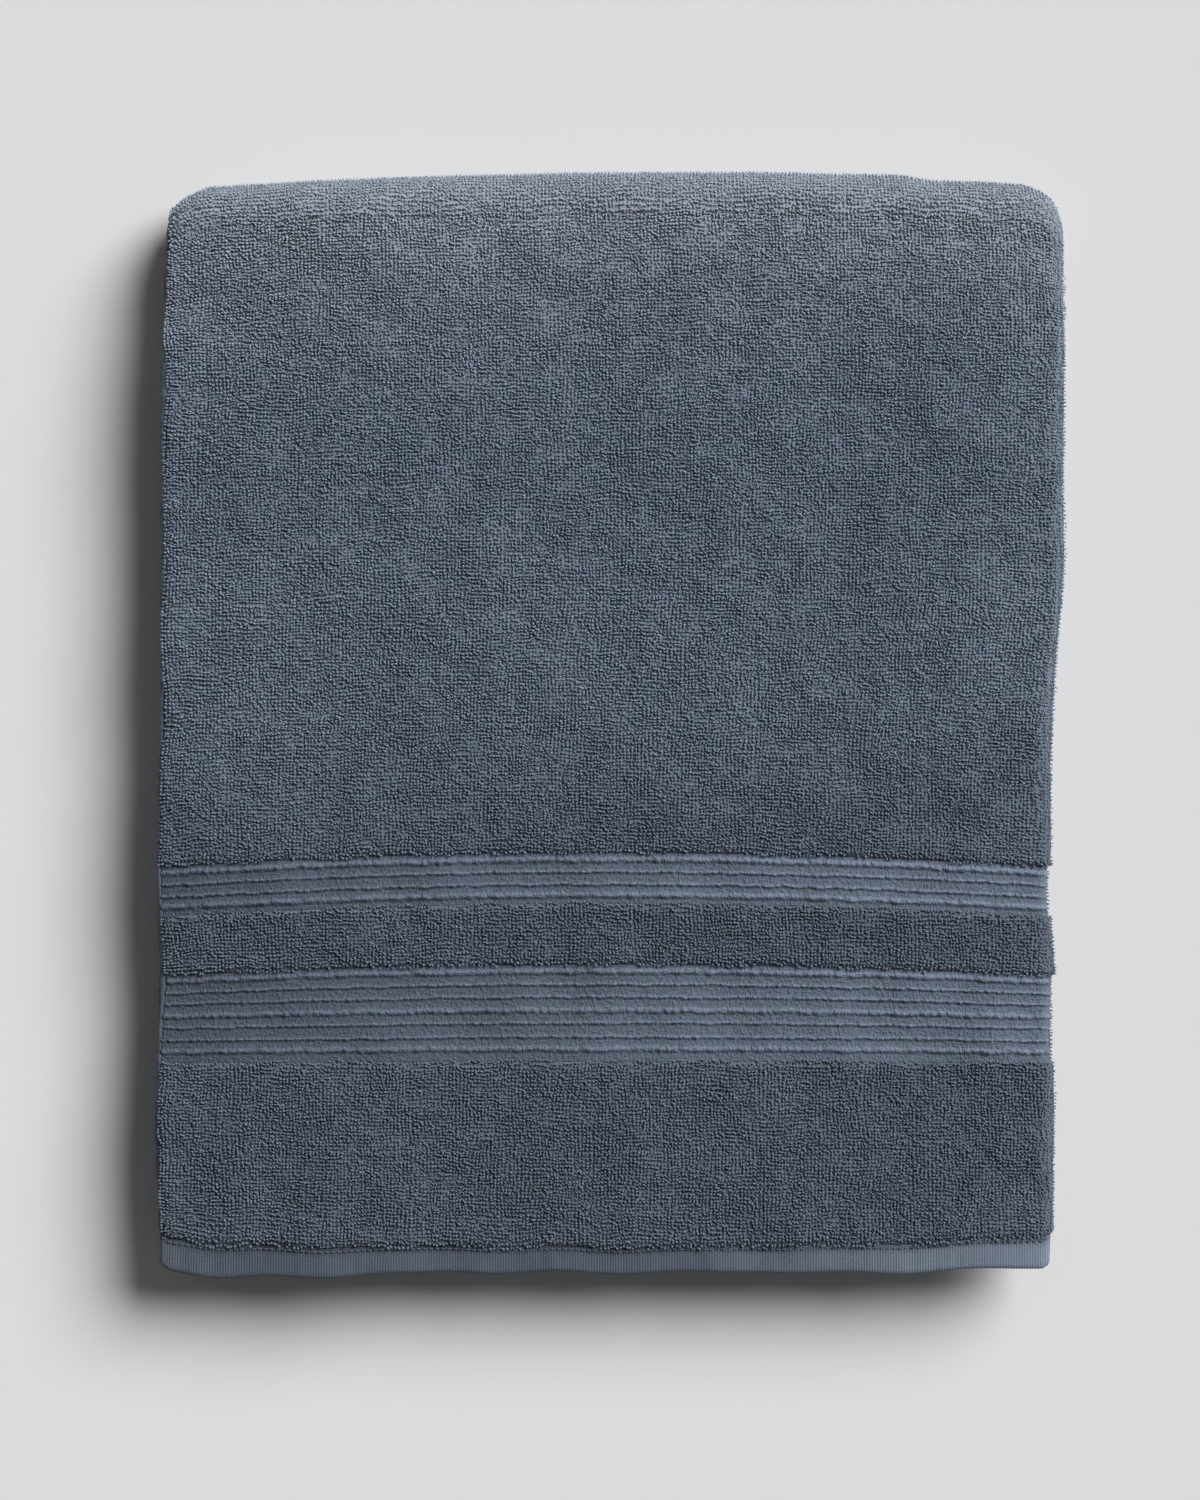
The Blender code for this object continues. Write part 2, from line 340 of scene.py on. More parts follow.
@dataclass(frozen=True)
class Drape:
    """How the folded stack gives and shifts: bowed weave lines, rounded corners, drawn-in sides and soft hollows."""

    plan: FoldPlan
    height: float
    half_width: float
    half_length: float
    bow_places: tuple[float, ...] = (-0.233, -0.222, -0.144, -0.103, -0.055, 0.085)
    bow_depths: tuple[float, ...] = (-0.0006, -0.0038, 0.0010, 0.0050, 0.0063, 0.0)
    back_bow: float = 5.6 * MM
    back_bow_centre: float = 0.03
    back_bow_reach: float = 0.19
    back_corner: float = 19.0 * MM
    back_set: Shift = Shift(1.7 * MM, 0.118, 0.138)
    back_push: float = 1.0 * MM
    back_from: float = 0.145
    front_corner: float = 6.0 * MM
    front_set: Shift = Shift(1.0 * MM, 0.12, 0.19)
    front_dip: Shift = Shift(-2.4 * MM, -0.085, -0.118)
    front_slack: float = -0.5 * MM
    front_wave: Waves = Waves(-0.5 * MM, 0.045, 13)
    front_from: float = -0.205
    lower_set: Shift = Shift(15.0 * MM, 0.135, 0.192)
    right_shifts: tuple[Shift, ...] = (
        Shift(-5.2 * MM, 0.075, -0.02), Shift(1.2 * MM, -0.07, -0.10), Shift(0.6 * MM, 0.02, 0.07)
    )
    left_shifts: tuple[Shift, ...] = (Shift(1.3 * MM, 0.02, 0.19), Shift(-1.0 * MM, 0.03, -0.06))
    side_waver: Waves = Waves(0.4 * MM, 0.05, 12)
    slip: Waves = Waves(0.4 * MM, 0.085, 41)
    swell: Waves = Waves(0.9 * MM, 0.095, 7)
    small_swell: Waves = Waves(0.405 * MM, 0.038, 8)
    side_sag: Shift = Shift(1.6 * MM, 0.150, 0.192)
    front_sag: Shift = Shift(1.6 * MM, -0.19, -0.235)
    back_sag: Shift = Shift(3.4 * MM, 0.155, 0.228)

    @classmethod
    def from_frame(cls, plan: FoldPlan) -> "Drape":
        """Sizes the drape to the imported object's box."""
        low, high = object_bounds()
        return cls(plan, high.z, high.x, high.y)

    def slipped(self, s: Array, x: Array, w: Array) -> Array:
        """Shifts each layer's open edge a little by itself.

        Args:
            s: How far along the cloth.
            x: Where across.
            w: The height over the leaf's middle, whose sign says which layer it is.

        Returns:
            The shifted x.
        """
        layer = np.where(np.asarray(w) > 0, 0.0, 5.0)
        near = smooth(-0.140, -0.188, x)
        return x + near * self.slip.at(s, layer)

    def back_cut(self, x: Array) -> Array:
        """How far the back corners fall away at each x: a soft slant that turns steep at the side.

        Args:
            x: Where across.

        Returns:
            The depth at each x.
        """
        into = np.clip(self.half_width - np.abs(x), 0.0, None)
        slant = np.clip(1 - into / (1.10 * self.back_corner), 0.0, 1.0) ** 2
        return 0.50 * self.back_corner * slant + 0.12 * self.back_corner * np.exp(-into / (1.5 * MM))

    def corner(self, x: Array, radius: float) -> Array:
        """How far a rounded corner cuts back at each x."""
        into = np.clip(np.abs(x) - (self.half_width - radius), 0.0, radius)
        return radius - np.sqrt(radius * radius - into * into)

    def give(self, points: Array) -> Array:
        """Moves points of the neat stack to where the soft one has them.

        Args:
            points: Places in the neat stack.

        Returns:
            The same places in the soft one.
        """
        x, y, z = points[:, 0], points[:, 1], points[:, 2]
        share = z / self.height
        bow = np.interp(y, self.bow_places, self.bow_depths) * (x / self.half_width) ** 2
        back = (self.back_push - self.back_edge(x)) * smooth(self.back_from, self.half_length, y)
        front = self.front_edge(x, share) * smooth(self.front_from, -self.half_length, y)
        side = (x + self.half_width) / (2 * self.half_width)
        left = sum(shift.at(y) for shift in self.left_shifts) * (1 - side)
        right = sum(shift.at(y) for shift in self.right_shifts) * side
        waver = self.side_waver.at(y, share) * np.sign(x) * np.abs(x / self.half_width) ** 4
        up = self.swell.at(x, y) + self.small_swell.at(x, y)
        sag = self.side_sag.at(np.abs(x)) + self.front_sag.at(y) + self.back_sag.at(y)
        return np.stack([x + left + right + waver, y - bow + back + front, z + share * (up - sag)], -1)

    def back_edge(self, x: Array) -> Array:
        """How far the back edge lies in front of the neat one at each x."""
        bow = self.back_bow * ((x - self.back_bow_centre) / self.back_bow_reach) ** 2
        return bow + self.back_cut(x) + self.back_set.at(x)

    def front_edge(self, x: Array, share: Array) -> Array:
        """How far the front edge lies behind the neat one at each x and share of the height.

        Args:
            x: Where across.
            share: The height as a share of the stack's.

        Returns:
            The depth at each place.
        """
        dip = self.front_dip.at(x) * smooth(-0.191, -0.160, x)
        wave = self.front_wave.at(x, 0 * x)
        lower = self.lower_set.at(x) * smooth(0.68, 0.62, share)
        return self.corner(x, self.front_corner) + self.front_set.at(x) + dip + self.front_slack + wave + lower

    def place(self, s: Array, a: Array, n: Array) -> Array:
        """Where a point of the cloth ends up.

        Args:
            s: How far along the cloth.
            a: How far across it, from the outer layer's open edge.
            n: How far out of its middle.

        Returns:
            One point for each.
        """
        x, w = self.plan.section(a, n)
        return self.give(self.plan.lay(s, self.slipped(s, x, w), w).reshape(-1, 3))

    def normals(self, s: Array, a: Array, n: Array) -> Array:
        """The outward direction of the cloth at each of the same points.

        Args:
            s: How far along the cloth.
            a: How far across it.
            n: How far out of its middle.

        Returns:
            One direction for each, of length 1.
        """
        reach = 0.2 * MM
        out = self.place(s, a, np.asarray(n) + reach) - self.place(s, a, np.asarray(n))
        return out / np.linalg.norm(out, axis=1, keepdims=True)


# --------------------------------------------------------------------------- mesh making


def linked(name: str, data: bpy.types.ID) -> Solid:
    """Makes an object of a mesh, a light or a camera, and links it to the scene.

    Args:
        name: The object's name.
        data: What it shows.

    Returns:
        The object.
    """
    obj = bpy.data.objects.new(name, data)
    bpy.context.scene.collection.objects.link(obj)
    return obj


def keep(mesh: bpy.types.Mesh, name: str, values: Array) -> None:
    """Keeps a number or a vector for each point of a mesh.

    Args:
        mesh: The mesh.
        name: The name that they are kept under.
        values: One number or one row for each point.
    """
    kind, key = ("FLOAT_VECTOR", "vector") if values.ndim > 1 else ("FLOAT", "value")
    kept = mesh.attributes.new(name, kind, "POINT")
    kept.data.foreach_set(key, values.astype(np.float32).ravel())


@dataclass
class MeshParts:
    """Points, faces and map places of a mesh that is being put together."""

    points: list[Array] = field(default_factory=list)
    faces: list[tuple[int, ...]] = field(default_factory=list)
    spots: list[tuple[float, float]] = field(default_factory=list)
    values: list[Array] = field(default_factory=list)
    count: int = 0

    def add_points(self, points: Array, values: Array) -> int:
        """Adds points with one number each, and returns the index of the first.

        Args:
            points: The points.
            values: The number that each one keeps.

        Returns:
            The index of the first of them.
        """
        first = self.count
        self.points.append(points)
        self.values.append(values)
        self.count += len(points)
        return first

    def add_face(self, corners: Sequence[int], spots: Iterable[tuple[float, float]]) -> None:
        """Adds one face with the map place of each corner."""
        self.faces.append(tuple(corners))
        self.spots.extend(spots)

    def build(self, name: str, attribute: str) -> Solid:
        """Makes the object.

        Args:
            name: The object's name.
            attribute: The name under which the points' numbers are kept.

        Returns:
            The object, linked to the scene, with its faces pointing outwards.
        """
        points = np.concatenate(self.points)
        if volume(points, self.faces) < 0:
            spots, at = [], 0
            for face in self.faces:
                spots.extend(reversed(self.spots[at : at + len(face)]))
                at += len(face)
            self.faces = [face[::-1] for face in self.faces]
            self.spots = spots
        mesh = bpy.data.meshes.new(name)
        mesh.from_pydata(points.tolist(), [], self.faces)
        layer = mesh.uv_layers.new(name=MAP_NAME)
        layer.data.foreach_set("uv", np.array(self.spots, np.float32).ravel())
        keep(mesh, attribute, np.concatenate(self.values))
        mesh.shade_smooth()
        mesh.update()
        return linked(name, mesh)


def volume(points: Array, faces: Sequence[Sequence[int]]) -> float:
    """The signed volume inside closed faces, above 0 when they point outwards.

    Args:
        points: The points.
        faces: The indices of each face's corners.

    Returns:
        The volume.
    """
    fans = [(f[0], f[i], f[i + 1]) for f in faces for i in range(1, len(f) - 1)]
    corners = points[np.array(fans)]
    return float(np.einsum("ij,ij->", corners[:, 0], np.cross(corners[:, 1], corners[:, 2]))) / 6


@dataclass
class Grid:
    """A sheet of quads over rising places along and across the cloth."""

    first: int
    rows: Array
    columns: Array

    def index(self, row: int, column: int) -> int:
        """The point at a row and a column."""
        return self.first + row * len(self.columns) + column


@dataclass(frozen=True)
class Panel:
    """One closed piece of folded cloth: an outer face, a coarser inner face and the rims between them."""

    drape: Drape
    start: float
    end: float
    first_across: float
    last_across: float
    outer: Callable[[Array, Array], tuple[Array, Array]]
    inner: float
    row_pitch: float
    fine_pitch: float
    coarse_pitch: float
    inner_pitch: float = 0.009
    ring_steps: int = 12

    def columns(self) -> Array:
        """The places across the cloth, fine on the outer layer and coarse on the inner one.

        Returns:
            The places.
        """
        plan = self.drape.plan
        fold_start, fold_end = plan.arm, plan.arm + plan.ring
        return np.concatenate([
            steps(self.first_across, fold_start, self.fine_pitch),
            np.linspace(fold_start, fold_end, self.ring_steps + 1)[1:-1],
            steps(fold_end, self.last_across, self.coarse_pitch),
        ])

    def build(self, name: str, attribute: str) -> Solid:
        """Makes the piece as an object of this name, with the outer face's numbers kept as an attribute.

        Args:
            name: The object's name.
            attribute: The name under which the numbers are kept.

        Returns:
            The object.
        """
        rows, columns = steps(self.start, self.end, self.row_pitch), self.columns()
        parts = MeshParts()
        outer = self.sheet(parts, rows, columns, None)
        few_rows, few_columns = sparse(rows, self.inner_pitch), sparse(columns, self.inner_pitch)
        inner = self.sheet(parts, rows[few_rows], columns[few_columns], self.inner)
        self.cover(parts, outer, 0.005)
        self.cover(parts, inner, 0.505)
        last_row, last_column = len(rows) - 1, len(columns) - 1
        self.rim(parts, 0.93, few_columns, lambda i: outer.index(0, i), lambda i: inner.index(0, i))
        self.rim(parts, 0.95, few_columns, lambda i: outer.index(last_row, i),
                 lambda i: inner.index(len(few_rows) - 1, i), turned=True)
        self.rim(parts, 0.97, few_rows, lambda i: outer.index(i, 0), lambda i: inner.index(i, 0), turned=True)
        self.rim(parts, 0.99, few_rows, lambda i: outer.index(i, last_column),
                 lambda i: inner.index(i, len(few_columns) - 1))
        return parts.build(name, attribute)

    def sheet(self, parts: MeshParts, rows: Array, columns: Array, depth: float | None) -> Grid:
        """Adds the points of one face of the cloth.

        Args:
            parts: What they are added to.
            rows: Places along the cloth.
            columns: Places across it.
            depth: How far out of the cloth's middle the face lies, or None for the outer face's own relief.

        Returns:
            The grid that they make.
        """
        s, a = (v.ravel() for v in np.meshgrid(rows, columns, indexing="ij"))
        n, values = self.outer(s, a) if depth is None else (np.full_like(s, depth), np.zeros_like(s))
        first = parts.add_points(self.drape.place(s, a, n), values)
        return Grid(first, rows, columns)

    def cover(self, parts: MeshParts, grid: Grid, left: float) -> None:
        """Adds the quads of a grid, mapped into half of the map from left on.

        Args:
            parts: What they are added to.
            grid: The points to cover.
            left: Where in the map they start.
        """
        u = left + 0.49 * (grid.columns - grid.columns[0]) / (grid.columns[-1] - grid.columns[0])
        v = 0.005 + 0.91 * (grid.rows - grid.rows[0]) / (grid.rows[-1] - grid.rows[0])
        for i in range(len(grid.rows) - 1):
            for j in range(len(grid.columns) - 1):
                corners = (grid.index(i, j), grid.index(i, j + 1), grid.index(i + 1, j + 1), grid.index(i + 1, j))
                spots = ((u[j], v[i]), (u[j + 1], v[i]), (u[j + 1], v[i + 1]), (u[j], v[i + 1]))
                if left > 0.5:
                    corners, spots = corners[::-1], spots[::-1]
                parts.add_face(corners, spots)

    def rim(
        self,
        parts: MeshParts,
        level: float,
        kept: Array,
        outer: Callable[[int], int],
        inner: Callable[[int], int],
        turned: bool = False,
    ) -> None:
        """Joins an edge of the outer face to the same edge of the inner face.

        Args:
            parts: What the faces are added to.
            level: Where in the map the rim lies.
            kept: Which points of the outer edge the inner edge has too.
            outer: The point at a place on the outer edge.
            inner: The point at a place on the inner edge.
            turned: Whether the rim's faces are listed the other way round.
        """
        last = kept[-1]
        for k in range(len(kept) - 1):
            low, high = int(kept[k]), int(kept[k + 1])
            corners = [inner(k), inner(k + 1)] + [outer(i) for i in range(high, low - 1, -1)]
            spots = [(low / last, level), (high / last, level)]
            spots += [(i / last, level + 0.008) for i in range(high, low - 1, -1)]
            if turned:
                corners, spots = corners[::-1], spots[::-1]
            parts.add_face(corners, spots)


# --------------------------------------------------------------------------- weave reliefs


@dataclass(frozen=True)
class PileGround:
    """The ground weave that the loops stand on, and the crushed pile of the faces where none are made."""

    plan: FoldPlan
    stands: Callable[[Array, Array], Array]
    base: float = 1.66 * MM
    curve_lift: float = 0.95 * MM
    bare: float = 2.85 * MM
    lumps: Waves = Waves(0.12 * MM, 0.006, 23)

    def relief(self, s: Array, a: Array) -> tuple[Array, Array]:
        """How far out the outer face lies, and 1 where the pile is bare of loops, 0 under them."""
        under = self.stands(s, a)
        return self.level(s, a) * under + self.bare * (1 - under) + self.lumps.at(s, a), 1 - under

    def level(self, s: Array, a: Array) -> Array:
        """How far out of the cloth's middle the loops' feet are."""
        return self.base + self.curve_lift * self.plan.curved(s, a)


class CordKind(Enum):
    """A cord's half width, its height and how far it lies behind its groove, in mm, and its waves' length in m."""

    BROAD = (0.95, 0.80, 1.60, 0.0036)
    THIN = (0.52, 0.66, 1.00, 0.0021)


@dataclass(frozen=True)
class Cord:
    """One raised cord of a ribbed border and the groove in front of it."""

    groove: float
    kind: CordKind


@dataclass(frozen=True)
class RibbedWeave:
    """The relief of a ribbed border: flat weave that swells into a cord and drops into a groove, and a painted shadow
    in front of each cord.
    """

    back_edge: float
    cords: tuple[Cord, ...]
    seed: int
    base: float = 0.95 * MM
    groove_depth: float = 0.42
    groove_half: float = 0.50
    # How dark and how long the painted shadow that each cord casts forward is.
    shadow: float = 0.22
    shadow_length: float = 1.3

    def relief(self, s: Array, a: Array) -> tuple[Array, Array]:
        """How far out the outer face lies, and the cords' height, from -1 in a groove to 1 on a cord, less a painted
        shadow in front of each cord.

        Args:
            s: How far along the cloth.
            a: How far across it.

        Returns:
            The height in metres, and the cords' height less the painted shadow.
        """
        behind = self.back_edge - s
        height, shade = np.zeros_like(s), np.zeros_like(s)
        for k, cord in enumerate(self.cords):
            width, rise, back, waves = cord.kind.value
            wave = ripple(a, np.full_like(a, 0.1 * k), waves, self.seed + k)
            stray = 0.14 * MM * ripple(a, np.full_like(a, 0.05 * k), 0.014, self.seed + 20 + k)
            ahead = (behind - (cord.groove + stray + 0.10 * MM * wave)) / MM
            crown = ahead + back
            lift = rise * (1 + 0.30 * wave) * np.exp(-((crown / np.where(crown < 0, 1.35 * width, width)) ** 2))
            broken = np.clip(1 + 0.28 * ripple(a, np.full_like(a, 0.3 * k), 0.006, self.seed + 40 + k), 0.4, 1.6)
            height += lift - self.groove_depth * broken * np.exp(-((ahead / self.groove_half) ** 2))
            # Painted shadow: darker flats in front of each groove, fading forwards.
            fading = np.exp(-np.clip(ahead, 0.0, None) / self.shadow_length)
            shade += self.shadow * fading * smooth(-0.1, 0.1, ahead)
        threads = 0.035 * ripple(s, a, 0.0016, self.seed + 50)
        return self.base + MM * (height + threads), np.clip(height - shade, -1, 1)

    def mirrored(self, s: Array, a: Array) -> tuple[Array, Array]:
        """The same on the cloth's other end, where the cords come in the opposite order."""
        return self.relief(2 * self.back_edge - s, a)


@dataclass(frozen=True)
class HemWeave:
    """The plain hem, turned under: thinner at its free edge, with slight puckers from the stitching."""

    free_edge: float
    depth: float
    base: float = 1.1 * MM
    roll_height: float = 0.75 * MM
    roll_share: float = 0.13
    puckers: Waves = Waves(0.16 * MM, 0.0035, 61)
    dents: Waves = Waves(0.16 * MM, 0.024, 62)

    def relief(self, s: Array, a: Array) -> tuple[Array, Array]:
        """How far out the outer face lies, and how much of the light the pile and the roll keep off it.

        Args:
            s: How far along the cloth.
            a: How far across it.

        Returns:
            The height in metres, and the shade from 0 to about 1.
        """
        into = np.abs(s - self.free_edge) / self.depth
        shade = smooth(0.64, 0.90, into) + 0.35 * smooth(0.22, 0.0, into)
        edge = 1 - np.clip(into / self.roll_share, 0, 1)
        roll = self.roll_height * (1 - np.sqrt(np.clip(1 - edge**2, 0, 1)))
        pucker = self.puckers.at(a, s * 0.2) * np.clip(into, 0, 1)
        return self.base - roll + pucker + self.dents.at(a, s), shade


# --------------------------------------------------------------------------- node trees


class Number:
    """A number socket that Python's operators add Math nodes to."""

    def __init__(self, bench: "Bench", socket: Socket) -> None:
        """Wraps a socket of the bench's tree."""
        self.bench = bench
        self.socket = socket

    def math(self, operation: str, *others: Any) -> "Number":
        """Adds a Math node on this number and the others, in that order."""
        return self.bench.math(operation, self, *others)

    def __add__(self, other: Any) -> "Number":
        """self + other"""
        return self.math("ADD", other)

    def __sub__(self, other: Any) -> "Number":
        """self - other"""
        return self.math("SUBTRACT", other)

    def __rsub__(self, other: Any) -> "Number":
        """other - self"""
        return self.bench.math("SUBTRACT", other, self)

    def __mul__(self, other: Any) -> "Number":
        """self * other"""
        return self.math("MULTIPLY", other)

    __radd__ = __add__
    __rmul__ = __mul__

    def step(self, low: float, high: float) -> "Number":
        """A soft step from 0 at low to 1 at high."""
        node = self.bench.add(
            "ShaderNodeMapRange",
            {"interpolation_type": "SMOOTHSTEP"},
            {"Value": self, "From Min": low, "From Max": high},
        )
        return Number(self.bench, node.outputs["Result"])


class Bench:
    """Adds nodes to one node tree."""

    def __init__(self, tree: bpy.types.NodeTree) -> None:
        """Starts on an empty tree."""
        self.tree = tree
        tree.nodes.clear()

    def add(
        self, kind: str, settings: dict[str, Any] | None = None, inputs: dict[Any, Any] | None = None
    ) -> bpy.types.Node:
        """Adds a node.

        Args:
            kind: The node's type.
            settings: Its own properties, which are set first.
            inputs: Values or links of its sockets, by name or by number.

        Returns:
            The node.
        """
        node = self.tree.nodes.new(kind)
        for name, value in (settings or {}).items():
            setattr(node, name, value)
        for key, value in (inputs or {}).items():
            self.feed(node.inputs[key], value)
        return node

    def feed(self, socket: Socket, value: Any) -> None:
        """Links a socket to a socket, or sets it to a value."""
        if isinstance(value, Number):
            value = value.socket
        if isinstance(value, Socket):
            self.tree.links.new(value, socket)
        else:
            socket.default_value = value

    def math(self, operation: str, *values: Any) -> Number:
        """Adds a Math node."""
        node = self.add("ShaderNodeMath", {"operation": operation}, dict(enumerate(values)))
        return Number(self, node.outputs[0])

    def place(self) -> Socket:
        """The place on the object, in metres."""
        return self.add("ShaderNodeTexCoord").outputs["Object"]

    def stretched(self, scale: tuple[float, float, float], turn: float = 0.0) -> Socket:
        """The place on the object, turned about Z and then scaled."""
        node = self.add(
            "ShaderNodeMapping",
            {"vector_type": "POINT"},
            {"Vector": self.place(), "Rotation": (0.0, 0.0, turn), "Scale": scale},
        )
        return node.outputs[0]

    def noise(self, where: Socket, scale: float, detail: float = 2.0, rough: float = 0.5) -> Number:
        """A noise pattern from 0 to 1."""
        node = self.add(
            "ShaderNodeTexNoise", None, {"Vector": where, "Scale": scale, "Detail": detail, "Roughness": rough}
        )
        return Number(self, node.outputs[0])

    def cells(self, where: Socket, scale: float, jitter: float) -> Number:
        """How far each place is from the nearest cell centre."""
        node = self.add("ShaderNodeTexVoronoi", None, {"Vector": where, "Scale": scale, "Randomness": jitter})
        return Number(self, node.outputs["Distance"])

    def attribute(self, name: str) -> Number:
        """A number that the mesh keeps for each point."""
        return Number(self, self.add("ShaderNodeAttribute", {"attribute_name": name}).outputs["Fac"])

    def blend(self, share: Any, low: Any, high: Any) -> Socket:
        """A colour between two colours.

        Args:
            share: 0 for the first colour, 1 for the second.
            low: The first colour.
            high: The second.

        Returns:
            The colour.
        """
        node = self.add("ShaderNodeMix", {"data_type": "RGBA"})
        colours = [s for s in node.inputs if s.type == "RGBA"]
        self.feed(node.inputs[0], share)
        for socket, value in zip(colours, (low, high)):
            self.feed(socket, value)
        return next(s for s in node.outputs if s.type == "RGBA")

    def brighten(self, colour: Any, amount: Any) -> Socket:
        """A colour times a number."""
        return self.add("ShaderNodeVectorMath", {"operation": "SCALE"}, {0: colour, "Scale": amount}).outputs[0]

    def bump(self, height: Any, depth: float) -> Socket:
        """A normal that follows a height of 0 to 1, depth metres high."""
        return self.add("ShaderNodeBump", None, {"Height": height, "Distance": depth, "Strength": 1.0}).outputs[0]


def opaque(colour: Triple) -> tuple[float, float, float, float]:
    """A colour as a socket takes it."""
    return (*colour, 1.0)


@dataclass(frozen=True)
class CottonFinish:
    """What every cotton surface of the towel shares: its two dye casts, its sheen, how rough it is, and painted light
    that makes it lighter towards the back and the right.
    """

    name: str
    green: Triple
    violet: Triple
    roughness: float = 0.92
    gloss: float = 0.18
    sheen: float = 0.35
    sheen_roughness: float = 0.40
    sheen_tint: Triple = (0.55, 0.66, 0.82)
    # Painted light: the next three numbers make the surface lighter towards the back and towards the right, from a
    # given x on; the one after paints it lighter and greyer in steps towards the back, a painted sheen.
    back_painted_light: float = 0.34
    side_painted_light: float = 0.0
    side_from: float = -0.30
    back_painted_sheen: float = 0.0

    def make(self) -> Material:
        """Makes the material.

        Returns:
            The material.
        """
        material = bpy.data.materials.new(self.name)
        material.use_nodes = True
        bench = Bench(material.node_tree)
        tone, normal = self.weave(bench)
        inputs = {
            "Base Color": bench.brighten(self.dye(bench), tone),
            "Roughness": self.roughness,
            "Specular IOR Level": self.gloss,
            "Sheen Weight": self.sheen,
            "Sheen Roughness": self.sheen_roughness,
            "Sheen Tint": opaque(self.sheen_tint),
        }
        if normal is not None:
            inputs["Normal"] = normal
        shader = bench.add("ShaderNodeBsdfPrincipled", None, inputs)
        bench.add("ShaderNodeOutputMaterial", None, {"Surface": shader.outputs[0]})
        return material

    def weave(self, bench: Bench) -> tuple[Number, Socket | None]:
        """How light each place of the weave is, and the normal of its relief, if that is not in the mesh."""
        raise NotImplementedError

    def dye(self, bench: Bench) -> Socket:
        """The heathered colour: patches of the two casts, slow lighter and darker drifts, and painted light: lighter
        towards the back and the right, and lighter and greyer in steps towards the back, a painted sheen.

        Args:
            bench: The material's bench.

        Returns:
            The colour.
        """
        place = bench.place()
        cast = bench.noise(place, 110.0, 2.0, 0.6).step(0.36, 0.64)
        drift = bench.noise(place, 14.0, 1.0, 0.5) * 0.10 + 0.95
        axes = bench.add("ShaderNodeSeparateXYZ", None, {0: place}).outputs
        along = Number(bench, axes["Y"])
        # Painted light: lighter towards the back and towards the right, where the light comes from.
        back = along.step(-0.16, 0.26) * self.back_painted_light
        side = Number(bench, axes["X"]).step(self.side_from, 0.22) * self.side_painted_light
        # Painted sheen: lighter in three steps towards the back, and greyer there below.
        back_painted_sheen = along.step(-0.075, 0.02) * 0.34 + along.step(0.10, 0.20) * 0.30 + along.step(0.180, 0.222) * 0.50
        shade = drift * (back + side + back_painted_sheen * self.back_painted_sheen + (1 - (self.back_painted_light + self.side_painted_light) / 2 - 0.17 * self.back_painted_sheen))
        dyed = bench.blend(cast, opaque(self.green), opaque(self.violet))
        grey = opaque((sum(self.green) / 3,) * 3)
        return bench.brighten(bench.blend(along.step(0.12, 0.225) * (0.42 * self.back_painted_sheen), dyed, grey), shade)


@dataclass(frozen=True)
class LoopFinish(CottonFinish):
    """The yarn of the loops: each loop a little lighter or darker, and painted shade that darkens it down at its
    feet.
    """

    root_shade: float = 0.80

    def weave(self, bench: Bench) -> tuple[Number, None]:
        """How light each loop is, with painted shade from its feet up to its crown."""
        each = bench.attribute("shade") * 0.26 + 0.87
        # Painted shade: darker towards the loop's feet, by the reach attribute.
        return each * (bench.attribute("reach").step(0.05, 0.95) * (1 - self.root_shade) + self.root_shade), None


@dataclass(frozen=True)
class GroundFinish(CottonFinish):
    """The pile's ground weave: painted shade under the loops, and crushed loops with painted shade in their gaps on
    the faces that press together.
    """

    # Painted shade: how light the ground is under the standing loops.
    under: float = 0.84

    def weave(self, bench: Bench) -> tuple[Number, Socket]:
        """How light the ground is, with painted shade under the loops and between the crushed loops, and the crushed
        loops' relief.

        Args:
            bench: The material's bench.

        Returns:
            The lightness, and the normal.
        """
        place = bench.place()
        wander = bench.add("ShaderNodeTexNoise", None, {"Vector": place, "Scale": 70.0, "Detail": 1.0})
        moved = bench.add(
            "ShaderNodeVectorMath",
            {"operation": "MULTIPLY_ADD"},
            {0: wander.outputs["Color"], 1: (0.004, 0.004, 0.004), 2: place},
        )
        loops = 1 - bench.cells(moved.outputs[0], 640.0, 0.45).step(0.12, 0.62)
        bare = bench.attribute("bare")
        # Painted shade: the crushed loops' gaps are darker, and the ground under the standing loops is darkened.
        return bare * (loops * 0.62 + 0.42) + (1 - bare) * self.under, bench.bump(loops, 1.3 * MM)


@dataclass(frozen=True)
class RibFinish(CottonFinish):
    """The ribbed borders: fine threads on the flats, a painted highlight on each cord and painted shade in and just
    in front of each groove.
    """

    def weave(self, bench: Bench) -> tuple[Number, Socket]:
        """How light the cords, the flats and the grooves are, with painted highlights and painted shade, and the
        twill's relief.

        Args:
            bench: The material's bench.

        Returns:
            The lightness, and the normal.
        """
        height = bench.attribute("rib")
        # Painted light: a highlight on each cord's crest, and shade in each groove and in the cord's painted shadow
        # in front of it.
        groove, crest_highlight = 1 - height.step(-0.55, 0.05), height.step(0.10, 0.50)
        threads = bench.noise(bench.stretched((1050.0, 520.0, 520.0), 0.5), 1.0, 2.0, 0.6)
        picks = bench.noise(bench.stretched((480.0, 1300.0, 600.0)), 1.0, 1.0, 0.5)
        twill = threads.step(0.30, 0.70) * 0.6 + picks.step(0.30, 0.70) * 0.4
        tone = (twill * 0.40 + 0.80) * (1 - groove * 0.33) * (0.94 + crest_highlight * 0.40)
        return tone, bench.bump(twill, 0.60 * MM)


